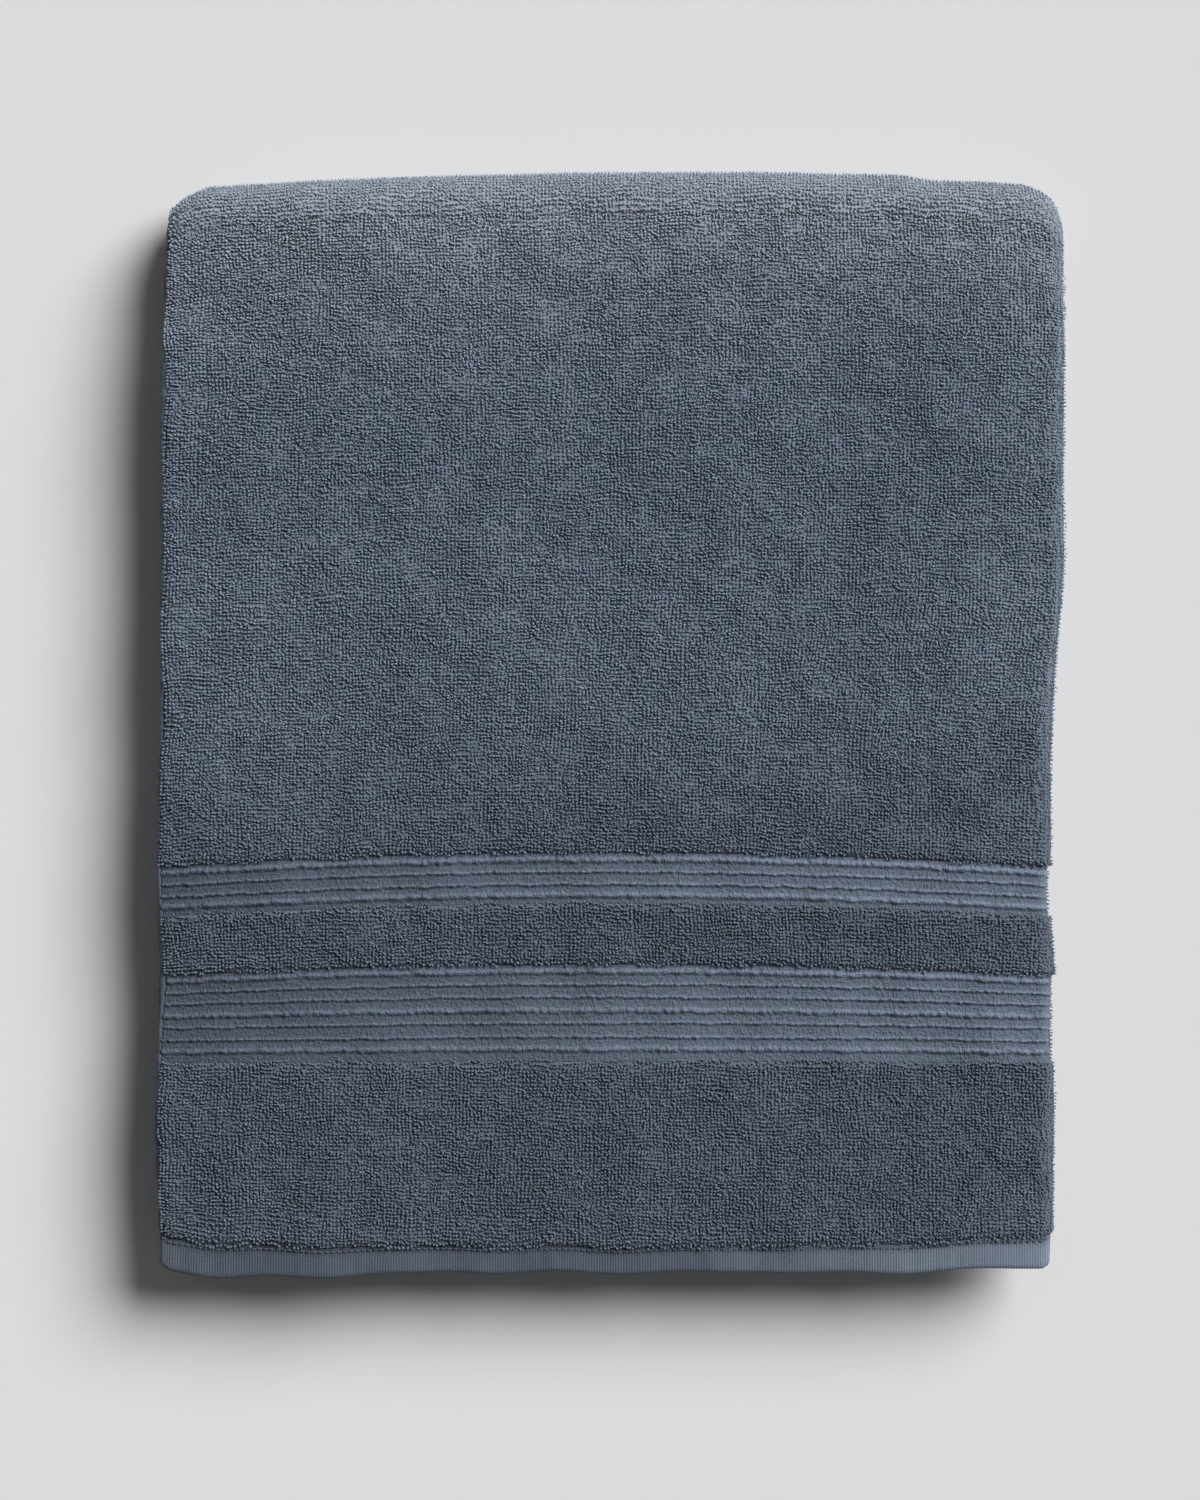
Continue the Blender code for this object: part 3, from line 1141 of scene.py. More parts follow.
@dataclass(frozen=True)
class PlainWeaveFinish(CottonFinish):
    """The hems: a plain weave with fine ribs that run from the free edge to the pile."""

    rib: float = 1.13 * MM

    def weave(self, bench: Bench) -> tuple[Number, Socket]:
        """How light the weave is, with painted shade under the pile's edge and on the rolled free edge, and the ribs'
        relief.

        Args:
            bench: The material's bench.

        Returns:
            The lightness, and the normal.
        """
        waves = bench.add(
            "ShaderNodeTexWave",
            {"wave_type": "BANDS", "bands_direction": "X", "wave_profile": "SIN"},
            {
                "Vector": bench.stretched((1.0, 0.06, 0.06)),
                "Scale": 0.314 / self.rib,
                "Distortion": 1.2,
                "Detail": 2.0,
                "Detail Scale": 90.0,
            },
        )
        ribs = Number(bench, waves.outputs["Fac"])
        threads = bench.noise(bench.place(), 1500.0, 2.0, 0.6)
        slubs = bench.noise(bench.stretched((260.0, 40.0, 40.0)), 1.0, 2.0, 0.6)
        # Painted shade: the edge attribute darkens the weave under the pile's edge and at the rolled free edge.
        tone = (ribs * 0.24 + threads * 0.40 + slubs * 0.44 + 0.45) * (1 - bench.attribute("edge") * 0.36)
        return tone, bench.bump(ribs * 0.4 + threads * 0.4 + slubs * 0.2, 0.65 * MM)


@dataclass(frozen=True)
class SelvedgeFinish(CottonFinish):
    """The woven edges: tight picks across a narrow smooth strip."""

    def weave(self, bench: Bench) -> tuple[Number, Socket]:
        """How light each pick is, and its relief."""
        picks = bench.noise(bench.stretched((420.0, 1700.0, 900.0)), 1.0, 2.0, 0.55)
        return picks * 0.22 + 0.89, bench.bump(picks, 0.25 * MM)


@dataclass(frozen=True)
class ThreadFinish(CottonFinish):
    """The sewing thread: a fine twist along each stitch."""

    def weave(self, bench: Bench) -> tuple[Number, Socket]:
        """How light each ply is, and its relief."""
        twist = bench.noise(bench.stretched((2600.0, 1500.0, 1500.0), 0.6), 1.0, 1.0, 0.5)
        return twist * 0.3 + 0.85, bench.bump(twist, 0.1 * MM)


@dataclass(frozen=True)
class FloorFinish:
    """The pale floor."""

    shade: float = 0.8

    def make(self) -> Material:
        """Makes the material.

        Returns:
            The material.
        """
        material = bpy.data.materials.new("pale_floor")
        material.use_nodes = True
        bench = Bench(material.node_tree)
        grain = bench.noise(bench.place(), 9.0, 3.0, 0.5) * 0.01 + 0.995
        colour = bench.brighten((self.shade,) * 3, grain)
        shader = bench.add(
            "ShaderNodeBsdfPrincipled", None, {"Base Color": colour, "Roughness": 0.95, "Specular IOR Level": 0.0}
        )
        bench.add("ShaderNodeOutputMaterial", None, {"Surface": shader.outputs[0]})
        return material


# --------------------------------------------------------------------------- loops and stitches


@dataclass(frozen=True)
class YarnLoop:
    """The shape of one loop of pile yarn: two pointed feet and a rounded crown."""

    half_width: float = 0.40 * MM
    height: float = 1.65 * MM
    yarn: float = 0.48 * MM

    def build(self) -> Solid:
        """Makes the loop as a hidden object, standing on +Z with its width along X.

        Returns:
            The hidden object.
        """
        foot = (0.55 * self.half_width, 0.0, -0.1 * self.height)
        points = [(-foot[0], foot[1], foot[2])]
        rings = ((-1.00, 0.60, 0.80, 0.92), (0.00, 1.00, 1.00, 0.00), (1.00, 0.60, 0.80, -0.92))
        for across, up, thick, lean in rings:
            for k in range(3):
                turn = 2 * math.pi * k / 3 + math.pi / 2
                side, out = math.cos(turn) * self.yarn * thick, math.sin(turn) * self.yarn * thick
                x = across * self.half_width - out * math.sin(lean)
                points.append((x, side, up * self.height - self.yarn + out * math.cos(lean)))
        points.append(foot)
        spots = [(x / self.half_width, (y + z) / self.height, 0.0) for x, y, z in points]
        obj = spindle("yarn_loop", points, 3, spots)
        keep(obj.data, "reach", np.array([max(0.0, p[2] / self.height) for p in points]))
        return obj


@dataclass(frozen=True)
class Stitch:
    """The shape of one stitch: a bar of thread that dips at both ends."""

    half: float
    radius: float
    sides: int = 5

    def build(self) -> Solid:
        """Makes the stitch as a hidden object, along X.

        Returns:
            The hidden object.
        """
        dip = -0.6 * self.radius
        points = [(-self.half, 0.0, dip)]
        for across, lift in ((-0.72, 0.35), (0.0, 0.6), (0.72, 0.35)):
            for k in range(self.sides):
                turn = 2 * math.pi * k / self.sides
                points.append(
                    (across * self.half, self.radius * math.cos(turn), self.radius * (lift + math.sin(turn)))
                )
        points.append((self.half, 0.0, dip))
        return spindle("stitch", points, self.sides, [(x / self.half, y / self.radius, 0.0) for x, y, _ in points])


def spindle(name: str, points: Sequence[Triple], sides: int, spots: Sequence[Triple]) -> Solid:
    """Makes a closed shape of rings between two tips, as an object that only node trees use.

    Args:
        name: The object's name.
        points: The first tip, the rings one after another, and the last tip.
        sides: How many points a ring has.
        spots: Each point's place on the map.

    Returns:
        The hidden object.
    """
    around = [(k, (k + 1) % sides) for k in range(sides)]
    last = len(points) - 1 - sides
    faces = [(0, 1 + b, 1 + a) for a, b in around]
    for ring in range(1, last, sides):
        faces += [(ring + a, ring + b, ring + sides + b, ring + sides + a) for a, b in around]
    faces += [(last + a, last + b, last + sides) for a, b in around]
    if volume(np.array(points), faces) < 0:
        faces = [f[::-1] for f in faces]
    mesh = bpy.data.meshes.new(name)
    mesh.from_pydata(points, [], faces)
    keep(mesh, "spot", np.array(spots))
    mesh.shade_smooth()
    obj = linked(name, mesh)
    obj.hide_render = True
    return obj


class ScatterTree:
    """A Geometry Nodes tree that stands a copy of a shape on every point and makes them one mesh."""

    def __init__(self, name: str) -> None:
        """Builds the tree.

        Args:
            name: The tree's name.
        """
        self.tree = bpy.data.node_groups.new(name, "GeometryNodeTree")
        self.bench = Bench(self.tree)
        face = self.tree.interface
        face.new_socket("Points", in_out="INPUT", socket_type="NodeSocketGeometry")
        kinds = {
            "Shape": "Object",
            "Size": "Vector",
            "Size Spread": "Float",
            "Turn Spread": "Float",
            "Map Cell": "Vector",
            "Seed": "Int",
            "Finish": "Material",
        }
        self.sockets = {
            label: face.new_socket(label, in_out="INPUT", socket_type=f"NodeSocket{kind}")
            for label, kind in kinds.items()
        }
        face.new_socket("Mesh", in_out="OUTPUT", socket_type="NodeSocketGeometry")
        self.wire()

    def named(self, name: str, kind: str) -> Socket:
        """The points' attribute of this name."""
        node = self.bench.add("GeometryNodeInputNamedAttribute", {"data_type": kind}, {"Name": name})
        return node.outputs["Attribute"]

    def random(self, low: Any, high: Any, seed: Socket) -> Socket:
        """A random number for each point.

        Args:
            low: The least it can be.
            high: The most it can be.
            seed: What fixes it.

        Returns:
            The number's socket.
        """
        node = self.bench.add("FunctionNodeRandomValue", {"data_type": "FLOAT"})
        numbers = [s for s in node.inputs if s.type == "VALUE" and s.enabled]
        self.bench.feed(numbers[0], low)
        self.bench.feed(numbers[1], high)
        self.bench.feed(node.inputs["Seed"], seed)
        return next(s for s in node.outputs if s.enabled)

    def wire(self) -> None:
        """Adds the nodes from the points to the finished mesh."""
        bench = self.bench
        given = bench.add("NodeGroupInput").outputs
        shape = bench.add("GeometryNodeObjectInfo", None, {"Object": given["Shape"]})
        upright = self.named("stand", "FLOAT_VECTOR")
        stand = bench.add("FunctionNodeAlignRotationToVector", {"axis": "Z"}, {"Vector": upright})
        spread = Number(bench, given["Turn Spread"])
        twist = self.random(spread * -1.0, spread, given["Seed"])
        angle = Number(bench, twist) + Number(bench, self.named("turn", "FLOAT"))
        turn = bench.add("FunctionNodeAxisAngleToRotation", None, {"Axis": (0.0, 0.0, 1.0), "Angle": angle})
        turned = bench.add(
            "FunctionNodeRotateRotation",
            {"rotation_space": "LOCAL"},
            {"Rotation": stand.outputs[0], "Rotate By": turn.outputs[0]},
        )
        less = Number(bench, given["Size Spread"])
        more = bench.math("ADD", given["Seed"], 1.0)
        spread_size = Number(bench, self.random(1 - less, 1 + less, more.socket))
        scale = spread_size * Number(bench, self.named("size", "FLOAT"))
        size = bench.add("ShaderNodeVectorMath", {"operation": "SCALE"}, {0: given["Size"], "Scale": scale})
        copies = bench.add(
            "GeometryNodeInstanceOnPoints",
            None,
            {
                "Points": given["Points"],
                "Instance": shape.outputs["Geometry"],
                "Rotation": turned.outputs[0],
                "Scale": size.outputs[0],
            },
        )
        real = bench.add("GeometryNodeRealizeInstances", None, {"Geometry": copies.outputs[0]})
        spot = bench.add(
            "ShaderNodeVectorMath",
            {"operation": "MULTIPLY_ADD"},
            {0: self.named("spot", "FLOAT_VECTOR"), 1: given["Map Cell"], 2: self.named("place", "FLOAT_VECTOR")},
        )
        mapped = bench.add(
            "GeometryNodeStoreNamedAttribute",
            {"data_type": "FLOAT2", "domain": "CORNER"},
            {"Geometry": real.outputs[0], "Name": MAP_NAME, "Value": spot.outputs[0]},
        )
        dressed = bench.add(
            "GeometryNodeSetMaterial", None, {"Geometry": mapped.outputs[0], "Material": given["Finish"]}
        )
        bench.add("NodeGroupOutput", None, {0: dressed.outputs[0]})

    def run(
        self, name: str, points: "ScatterPoints", shape: Solid, values: dict[str, Any]
    ) -> Solid:
        """Stands the shape on the points.

        Args:
            name: The finished piece's name.
            points: Where the copies stand.
            shape: What is copied.
            values: The other inputs, by name.

        Returns:
            The finished piece, a plain mesh.
        """
        source = points.build()
        modifier = source.modifiers.new("scatter", "NODES")
        modifier.node_group = self.tree
        modifier[self.sockets["Shape"].identifier] = shape
        for key, value in values.items():
            modifier[self.sockets[key].identifier] = value
        bpy.context.view_layer.update()
        graph = bpy.context.evaluated_depsgraph_get()
        mesh = bpy.data.meshes.new_from_object(source.evaluated_get(graph))
        mesh.name = name
        bpy.data.objects.remove(source)
        for spare in ("place", "spot", "stand", "turn", "size"):
            if spare in mesh.attributes:
                mesh.attributes.remove(mesh.attributes[spare])
        mesh.shade_smooth()
        return linked(name, mesh)


@dataclass
class ScatterPoints:
    """Points to stand copies on: their places, which way they stand and turn, their size, shade and map place."""

    places: Array
    stand: Array
    turn: Array
    size: Array
    shade: Array
    spots: Array

    def build(self) -> Solid:
        """Makes them an object of loose points.

        Returns:
            The object.
        """
        mesh = bpy.data.meshes.new("stand_points")
        mesh.from_pydata(self.places.tolist(), [], [])
        kept = {"stand": self.stand, "place": self.spots, "turn": self.turn, "size": self.size, "shade": self.shade}
        for name, values in kept.items():
            keep(mesh, name, values)
        return linked("stand_points", mesh)


@dataclass(frozen=True)
class Pile:
    """A patch of loops on one stretch of the cloth. They drift, lean and turn together in patches."""

    DRIFTS: ClassVar[tuple[Waves, Waves]] = (Waves(0.45 * MM, 0.027, 101), Waves(0.45 * MM, 0.031, 102))
    LEANS_ALONG: ClassVar[tuple[Waves, Waves]] = (Waves(0.11, 0.0048, 103), Waves(0.08, 0.015, 108))
    LEANS_ACROSS: ClassVar[tuple[Waves, Waves]] = (Waves(0.11, 0.0056, 104), Waves(0.08, 0.017, 109))
    RIDGES: ClassVar[Waves] = Waves(0.17, 0.0040, 110)
    RIDGE_PATCHES: ClassVar[Waves] = Waves(0.3, 0.030, 111)
    HANGS: ClassVar[Waves] = Waves(0.5, 0.009, 107)
    TURNS: ClassVar[Waves] = Waves(0.55, 0.017, 105)
    SIZES: ClassVar[Waves] = Waves(0.05, 0.011, 106)

    drape: Drape
    start: float
    end: float
    first_across: float
    last_across: float
    seed: int
    free_start: bool = False
    free_end: bool = False
    row_share: float = 1.0
    pitch: float = 1.5 * MM
    stray: float = 0.17 * MM
    stray_at_edge: float = 1.6
    lean: float = 0.15
    shrink: float = 0.36

    def rows_and_columns(self) -> tuple[Array, Array]:
        """The loops' even places on the cloth, as wide apart round the side fold as elsewhere.

        Returns:
            How far along and how far across each loop is.
        """
        plan, row_pitch = self.drape.plan, self.pitch * self.row_share
        rows = steps(self.start + 0.35 * row_pitch, self.end - 0.35 * row_pitch, row_pitch)
        columns = steps(self.first_across, min(plan.arm, self.last_across), self.pitch)
        if self.last_across > plan.arm:
            stretch = (plan.half_pitch + plan.thickness / 2) / plan.half_pitch
            columns = np.concatenate([columns, np.arange(plan.arm, self.last_across, self.pitch / stretch)[1:]])
        s, a = np.meshgrid(rows, columns, indexing="ij")
        return s.ravel(), a.ravel()

    def points(self) -> ScatterPoints:
        """Where the loops stand. They lean and turn together in patches, and hang outwards at a free end.

        Returns:
            The points.
        """
        plan, rng = self.drape.plan, np.random.default_rng(self.seed)
        s, a = self.rows_and_columns()
        loose = 1.0 + self.stray_at_edge * self.edge_share(s)
        s = s + self.DRIFTS[0].at(s, a) + rng.normal(0, self.stray, s.shape) * loose
        a = a + self.DRIFTS[1].at(s, a) + rng.normal(0, self.stray, a.shape)
        s = np.clip(s, self.start - 0.4 * MM, self.end + 0.4 * MM)
        a = np.maximum(a, self.first_across - 0.3 * MM)
        n = PileGround(plan, np.zeros_like).level(s, a)
        normals = self.drape.normals(s, a, n)
        places = self.drape.place(s, a, n)
        along = self.drape.place(s + 0.2 * MM, a, n) - places
        along /= np.linalg.norm(along, axis=1, keepdims=True)
        ridge = self.RIDGES.at(0.75 * (s + a), 0.28 * (a - s)) * (0.8 + self.RIDGE_PATCHES.at(s, a))
        lean_s = ridge + sum(w.at(s, a) for w in self.LEANS_ALONG) + rng.normal(0, self.lean, s.shape)
        lean_a = ridge + sum(w.at(s, a) for w in self.LEANS_ACROSS) + rng.normal(0, self.lean, s.shape)
        hang = rng.uniform(-0.1, 1.4, s.shape) * (1 + self.HANGS.at(a, s))
        lean_s = lean_s + hang * self.edge_share(s) * np.where(s - self.start < self.end - s, -1.0, 1.0)
        stand = normals + along * lean_s[:, None] + np.cross(normals, along) * lean_a[:, None]
        size = (1 + self.SIZES.at(s, a)) * (1 - self.shrink * plan.curved(s, a, -2 * MM, 19 * MM))
        shade = np.clip(0.5 + 0.25 * rng.normal(0, 1, s.shape), 0, 1)
        wide, deep = self.last_across - self.first_across, self.end - self.start
        spots = np.stack([(a - self.first_across) / wide, (s - self.start) / deep, np.zeros_like(s)], -1)
        spots[:, :2] = 0.01 + 0.98 * spots[:, :2]
        return ScatterPoints(places, stand, self.TURNS.at(s, a), size, shade, np.clip(spots, 0.005, 0.985))

    def edge_share(self, s: Array) -> Array:
        """1 at a free end of the patch, 0 from 1.7 mm inside it."""
        ends = ((self.free_start, s - self.start), (self.free_end, self.end - s))
        return sum((smooth(1.7 * MM, 0.3 * MM, into) for free, into in ends if free), np.zeros_like(s))

    @property
    def cell(self) -> tuple[float, float, float]:
        """How big one loop is on the piece's map."""
        wide, deep = self.last_across - self.first_across, self.end - self.start
        return 0.25 * self.pitch / wide, 0.4 * self.pitch / deep, 0.0


# --------------------------------------------------------------------------- the towel


class Zone(Enum):
    """The weave zones of a towel end, from its free edge inwards."""

    END_HEM = "end_hem"
    END_BAND = "end_band"
    WIDE_BORDER = "wide_border"
    TERRY_STRIP = "terry_strip"
    NARROW_BORDER = "narrow_border"
    TERRY_FIELD = "terry_field"

    @property
    def pile(self) -> bool:
        """Whether the zone has loops."""
        return self in (Zone.END_BAND, Zone.TERRY_STRIP, Zone.TERRY_FIELD)


NARROW_GROOVES = (4.9, 9.4, 14.6, 19.8)
WIDE_GROOVES = (4.9, 9.7, 15.0, 21.3, 26.0, 31.9, 37.6)


def row_of_cords(grooves: Sequence[float]) -> tuple[Cord, ...]:
    """The cords of a border, of which every third is broad, from their grooves' places in mm."""
    kinds = (CordKind.BROAD, CordKind.THIN, CordKind.THIN)
    return tuple(Cord(groove * MM, kinds[k % 3]) for k, groove in enumerate(grooves))


@dataclass
class Wardrobe:
    """The finishes, made once."""

    loops: Material
    ground: Material
    ribs: Material
    hem: Material
    selvedge: Material
    thread: Material

    @classmethod
    def make(cls) -> "Wardrobe":
        """Makes every finish of the towel."""
        return cls(
            # Painted light: every finish is painted lighter towards the back, the loops and the ground in steps with
            # a painted sheen, and the borders and hems also towards the right.
            LoopFinish("terry_loops", (0.221, 0.283, 0.350), (0.234, 0.275, 0.360), back_painted_light=0.0, back_painted_sheen=1.0).make(),
            # The ground's colours are darker than the loops': painted shade between the loops.
            GroundFinish("terry_ground", (0.165, 0.210, 0.260), (0.176, 0.204, 0.268), back_painted_light=0.0, back_painted_sheen=1.0).make(),
            RibFinish("ribbed_border", (0.136, 0.171, 0.223), (0.143, 0.167, 0.228), 0.8, side_painted_light=0.5).make(),
            PlainWeaveFinish(
                "hem_weave", (0.200, 0.247, 0.310), (0.210, 0.241, 0.319), 0.82, side_painted_light=0.62, side_from=0.0
            ).make(),
            SelvedgeFinish("woven_edge", (0.110, 0.138, 0.176), (0.117, 0.134, 0.181), roughness=0.85).make(),
            ThreadFinish("sewing_thread", (0.120, 0.150, 0.192), (0.128, 0.147, 0.198), roughness=0.7).make(),
        )


@dataclass
class Towel:
    """The whole folded towel."""

    plan: FoldPlan
    drape: Drape
    wardrobe: Wardrobe
    zone_gap: float = 0.26 * MM
    inner_face: float = -2.9 * MM
    first_loop: float = 1.3 * MM
    side_overlap: float = 2.0 * MM
    selvedge_width: float = 1.6 * MM
    selvedge_half: float = 1.15 * MM
    selvedge_sides: int = 14
    selvedge_waves: Waves = Waves(0.12 * MM, 0.011, 71)
    selvedge_picks: Waves = Waves(0.10 * MM, 0.0042, 72)
    stitch_pitch: float = 2.6 * MM
    pile_side: float = 1.9
    loop: Solid | None = None
    scatter: ScatterTree | None = None
    made: list[Solid] = field(default_factory=list)

    @property
    def cloth_start(self) -> float:
        """How far across the cloth the pile and the borders start, next to the selvedge."""
        return self.selvedge_width + 0.1 * MM

    @property
    def cloth_end(self) -> float:
        """How far across the cloth they end."""
        return self.plan.across - self.cloth_start

    def reached(self) -> float:
        """How far across the cloth, round the side fold, the loops go."""
        return self.plan.arm + self.plan.half_pitch * self.pile_side * math.pi / 2

    def dress(self, obj: Solid, finish: Material) -> Solid:
        """Gives a piece its finish and adds it to the made pieces.

        Args:
            obj: The piece.
            finish: Its material.

        Returns:
            The piece.
        """
        obj.data.materials.clear()
        obj.data.materials.append(finish)
        self.made.append(obj)
        LOG.info("%s: %d faces", obj.name, len(obj.data.polygons))
        return obj

    def follow(self, obj: Solid, body: str) -> None:
        """Makes a piece move with the base or the top leaf; a piece of the back fold is baked in place instead."""
        if body == "fold":
            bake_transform(obj)
        else:
            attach(obj, body)

    def pile(self, name: str, pile: Pile, body: str, parts: int = 1) -> list[Solid]:
        """Stands the loops of one stretch of cloth, in parts along it.

        Args:
            name: The pieces' name, which gets a number if there are several.
            pile: The stretch of cloth.
            body: What the pieces move with.
            parts: How many pieces it is made in.

        Returns:
            The pieces.
        """
        cuts = np.linspace(pile.start, pile.end, parts + 1)
        pieces = []
        for k in range(parts):
            part = replace(
                pile,
                start=float(cuts[k]),
                end=float(cuts[k + 1]),
                seed=pile.seed + k,
                free_start=pile.free_start and k == 0,
                free_end=pile.free_end and k == parts - 1,
            )
            values = {
                "Size": (1.0, 1.0, 1.0),
                "Size Spread": 0.16,
                "Turn Spread": 0.85,
                "Map Cell": part.cell,
                "Seed": part.seed,
                "Finish": self.wardrobe.loops,
            }
            label = name if parts == 1 else f"{name}_{k + 1}"
            obj = self.scatter.run(label, part.points(), self.loop, values)
            self.dress(obj, self.wardrobe.loops)
            self.follow(obj, body)
            pieces.append(obj)
        return pieces

    def zone_range(self, leaf: str, zone: Zone) -> tuple[float, float]:
        """From where to where along the cloth a zone of a leaf runs, half the gaps to its neighbours included.

        Args:
            leaf: Which leaf.
            zone: Which zone.

        Returns:
            Where it starts and where it ends.
        """
        low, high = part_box(f"{leaf}_{zone.value}")
        along = self.plan.along_top if leaf == TOP_LEAF else self.plan.along_inner
        return along(low.y) - self.zone_gap / 2, along(high.y) + self.zone_gap / 2

    def build_zone(self, leaf: str, zone: Zone) -> None:
        """Makes one weave zone of the top or the inner leaf, with its loops if it is pile.

        Args:
            leaf: Which leaf.
            zone: Which zone.
        """
        name = f"{leaf}_{zone.value}"
        top = leaf == TOP_LEAF
        start, end = self.zone_range(leaf, zone)
        body = TOP_LEAF if top else BASE
        extra: list[Solid] = []
        reached = self.reached()
        if zone.pile:
            ground = PileGround(self.plan, lambda s, a: ((a < reached) & top) | ((a > self.plan.arm) & (a < reached)))
            panel = Panel(
                self.drape, start, end, self.cloth_start, self.cloth_end, ground.relief, self.inner_face,
                row_pitch=3.0 * MM, fine_pitch=3.0 * MM if top else 6.0 * MM, coarse_pitch=7.0 * MM,
            )
            cloth = self.dress(panel.build(f"{name}_cloth", "bare"), self.wardrobe.ground)
            first = self.first_loop if top else self.plan.arm - self.side_overlap
            seed = 300 + 10 * list(Zone).index(zone) + (not top)
            inwards = zone is Zone.TERRY_FIELD
            pile = Pile(self.drape, start, end, first, reached, seed, free_start=True, free_end=not inwards)
            parts = {Zone.TERRY_FIELD: 5, Zone.END_BAND: 2}.get(zone, 1) if top else 1
            extra = self.pile(f"{name}_loops", pile, body, parts)
        elif zone is Zone.END_HEM:
            weave, inset = HemWeave(start if top else end, end - start), 0.2 * MM
            panel = Panel(
                self.drape, start, end, inset, self.plan.across - inset, weave.relief, -weave.base,
                row_pitch=0.7 * MM, fine_pitch=2.0 * MM if top else 6.0 * MM, coarse_pitch=6.0 * MM,
                inner_pitch=4.0 * MM,
            )
            cloth = self.dress(panel.build(f"{name}_cloth", "edge"), self.wardrobe.hem)
        else:
            grooves, seed = (WIDE_GROOVES, 5) if zone is Zone.WIDE_BORDER else (NARROW_GROOVES, 75)
            weave = RibbedWeave(end if top else start, row_of_cords(grooves), seed)
            relief = weave.relief if top else weave.mirrored
            panel = Panel(
                self.drape, start, end, self.cloth_start, self.cloth_end, relief, -1.45 * MM,
                row_pitch=0.42 * MM, fine_pitch=0.7 * MM if top else 3.2 * MM, coarse_pitch=9.0 * MM,
            )
            cloth = self.dress(panel.build(f"{name}_cloth", "rib"), self.wardrobe.ribs)
        self.follow(cloth, body)
        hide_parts(name)
        end - start
        self.under(leaf)

    def under(self, leaf: str) -> list[str]:
        """The pieces that a leaf lies on."""
        return ["inner_leaf_terry_field_cloth"] if leaf == TOP_LEAF else ["bottom_leaf_cloth"]

    def build_plain(self, name: str, node: str, start: float, end: float, body: str, loops: Pile, row: float) -> None:
        """Makes the bottom leaf or one of the two folds, with its loops.

        Args:
            name: The cloth's name.
            node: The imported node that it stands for.
            start: Where along the cloth it starts.
            end: Where it ends.
            body: What it moves with.
            loops: The stretch that has loops.
            row: The pitch of its rows of faces.
        """
        first, last = loops.first_across, loops.last_across
        ground = PileGround(self.plan, lambda s, a: (a > first - 3 * MM) & (a < last))
        panel = Panel(
            self.drape, start, end, self.cloth_start, self.cloth_end, ground.relief, self.inner_face,
            row_pitch=row, fine_pitch=5.0 * MM, coarse_pitch=7.0 * MM,
        )
        cloth = self.dress(panel.build(name, "bare"), self.wardrobe.ground)
        self.follow(cloth, body)
        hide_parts(node)
        parts = 2 if name == "back_fold_cloth" else 1
        extra = self.pile(f"{node}_loops", loops, body, parts)
        end - start

    def build_edge(self, node: str, start: float, end: float, outer: bool, body: str) -> None:
        """Makes a selvedge: a smooth narrow strip along the open edge of one layer.

        Args:
            node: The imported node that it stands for.
            start: Where along the cloth it starts.
            end: Where it ends.
            outer: Whether it is on the outer layer.
            body: What it moves with.
        """
        rows = steps(start + 0.1 * MM, end - 0.1 * MM, 3.0 * MM)
        count, last = self.selvedge_sides, len(rows) - 1
        turns = np.linspace(0, 2 * math.pi, count, endpoint=False)
        half = self.selvedge_width / 2
        wide, thick = half * blunt(np.cos(turns), 0.55), self.selvedge_half * blunt(np.sin(turns), 0.75)
        across = half + wide if outer else self.plan.across - half - wide
        s, k = (v.ravel() for v in np.meshgrid(rows, np.arange(count), indexing="ij"))
        k = k.astype(int)
        wave = self.selvedge_waves.at(s, 0 * s) + self.selvedge_picks.at(s, 0 * s + 1)
        parts = MeshParts()
        points = self.drape.place(s, np.maximum(across[k], 0.0), thick[k] + wave)
        parts.add_points(points, np.zeros(len(points)))
        for i in range(last):
            for j in range(count):
                right = (j + 1) % count
                corners = (i * count + j, i * count + right, (i + 1) * count + right, (i + 1) * count + j)
                u, v = (j / count, (j + 1) / count), (0.02 + 0.96 * i / last, 0.02 + 0.96 * (i + 1) / last)
                parts.add_face(corners, ((u[0], v[0]), (u[1], v[0]), (u[1], v[1]), (u[0], v[1])))
        for row, level in ((0, 0.005), (last, 0.99)):
            ring = [row * count + j for j in range(count)]
            spots = [(0.5 + 0.4 * math.cos(t), level + 0.005 * math.sin(t)) for t in turns]
            if row == 0:
                ring, spots = ring[::-1], spots[::-1]
            parts.add_face(ring, spots)
        obj = self.dress(parts.build(f"{node}_strip", "edge"), self.wardrobe.selvedge)
        self.follow(obj, body)
        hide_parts(node)

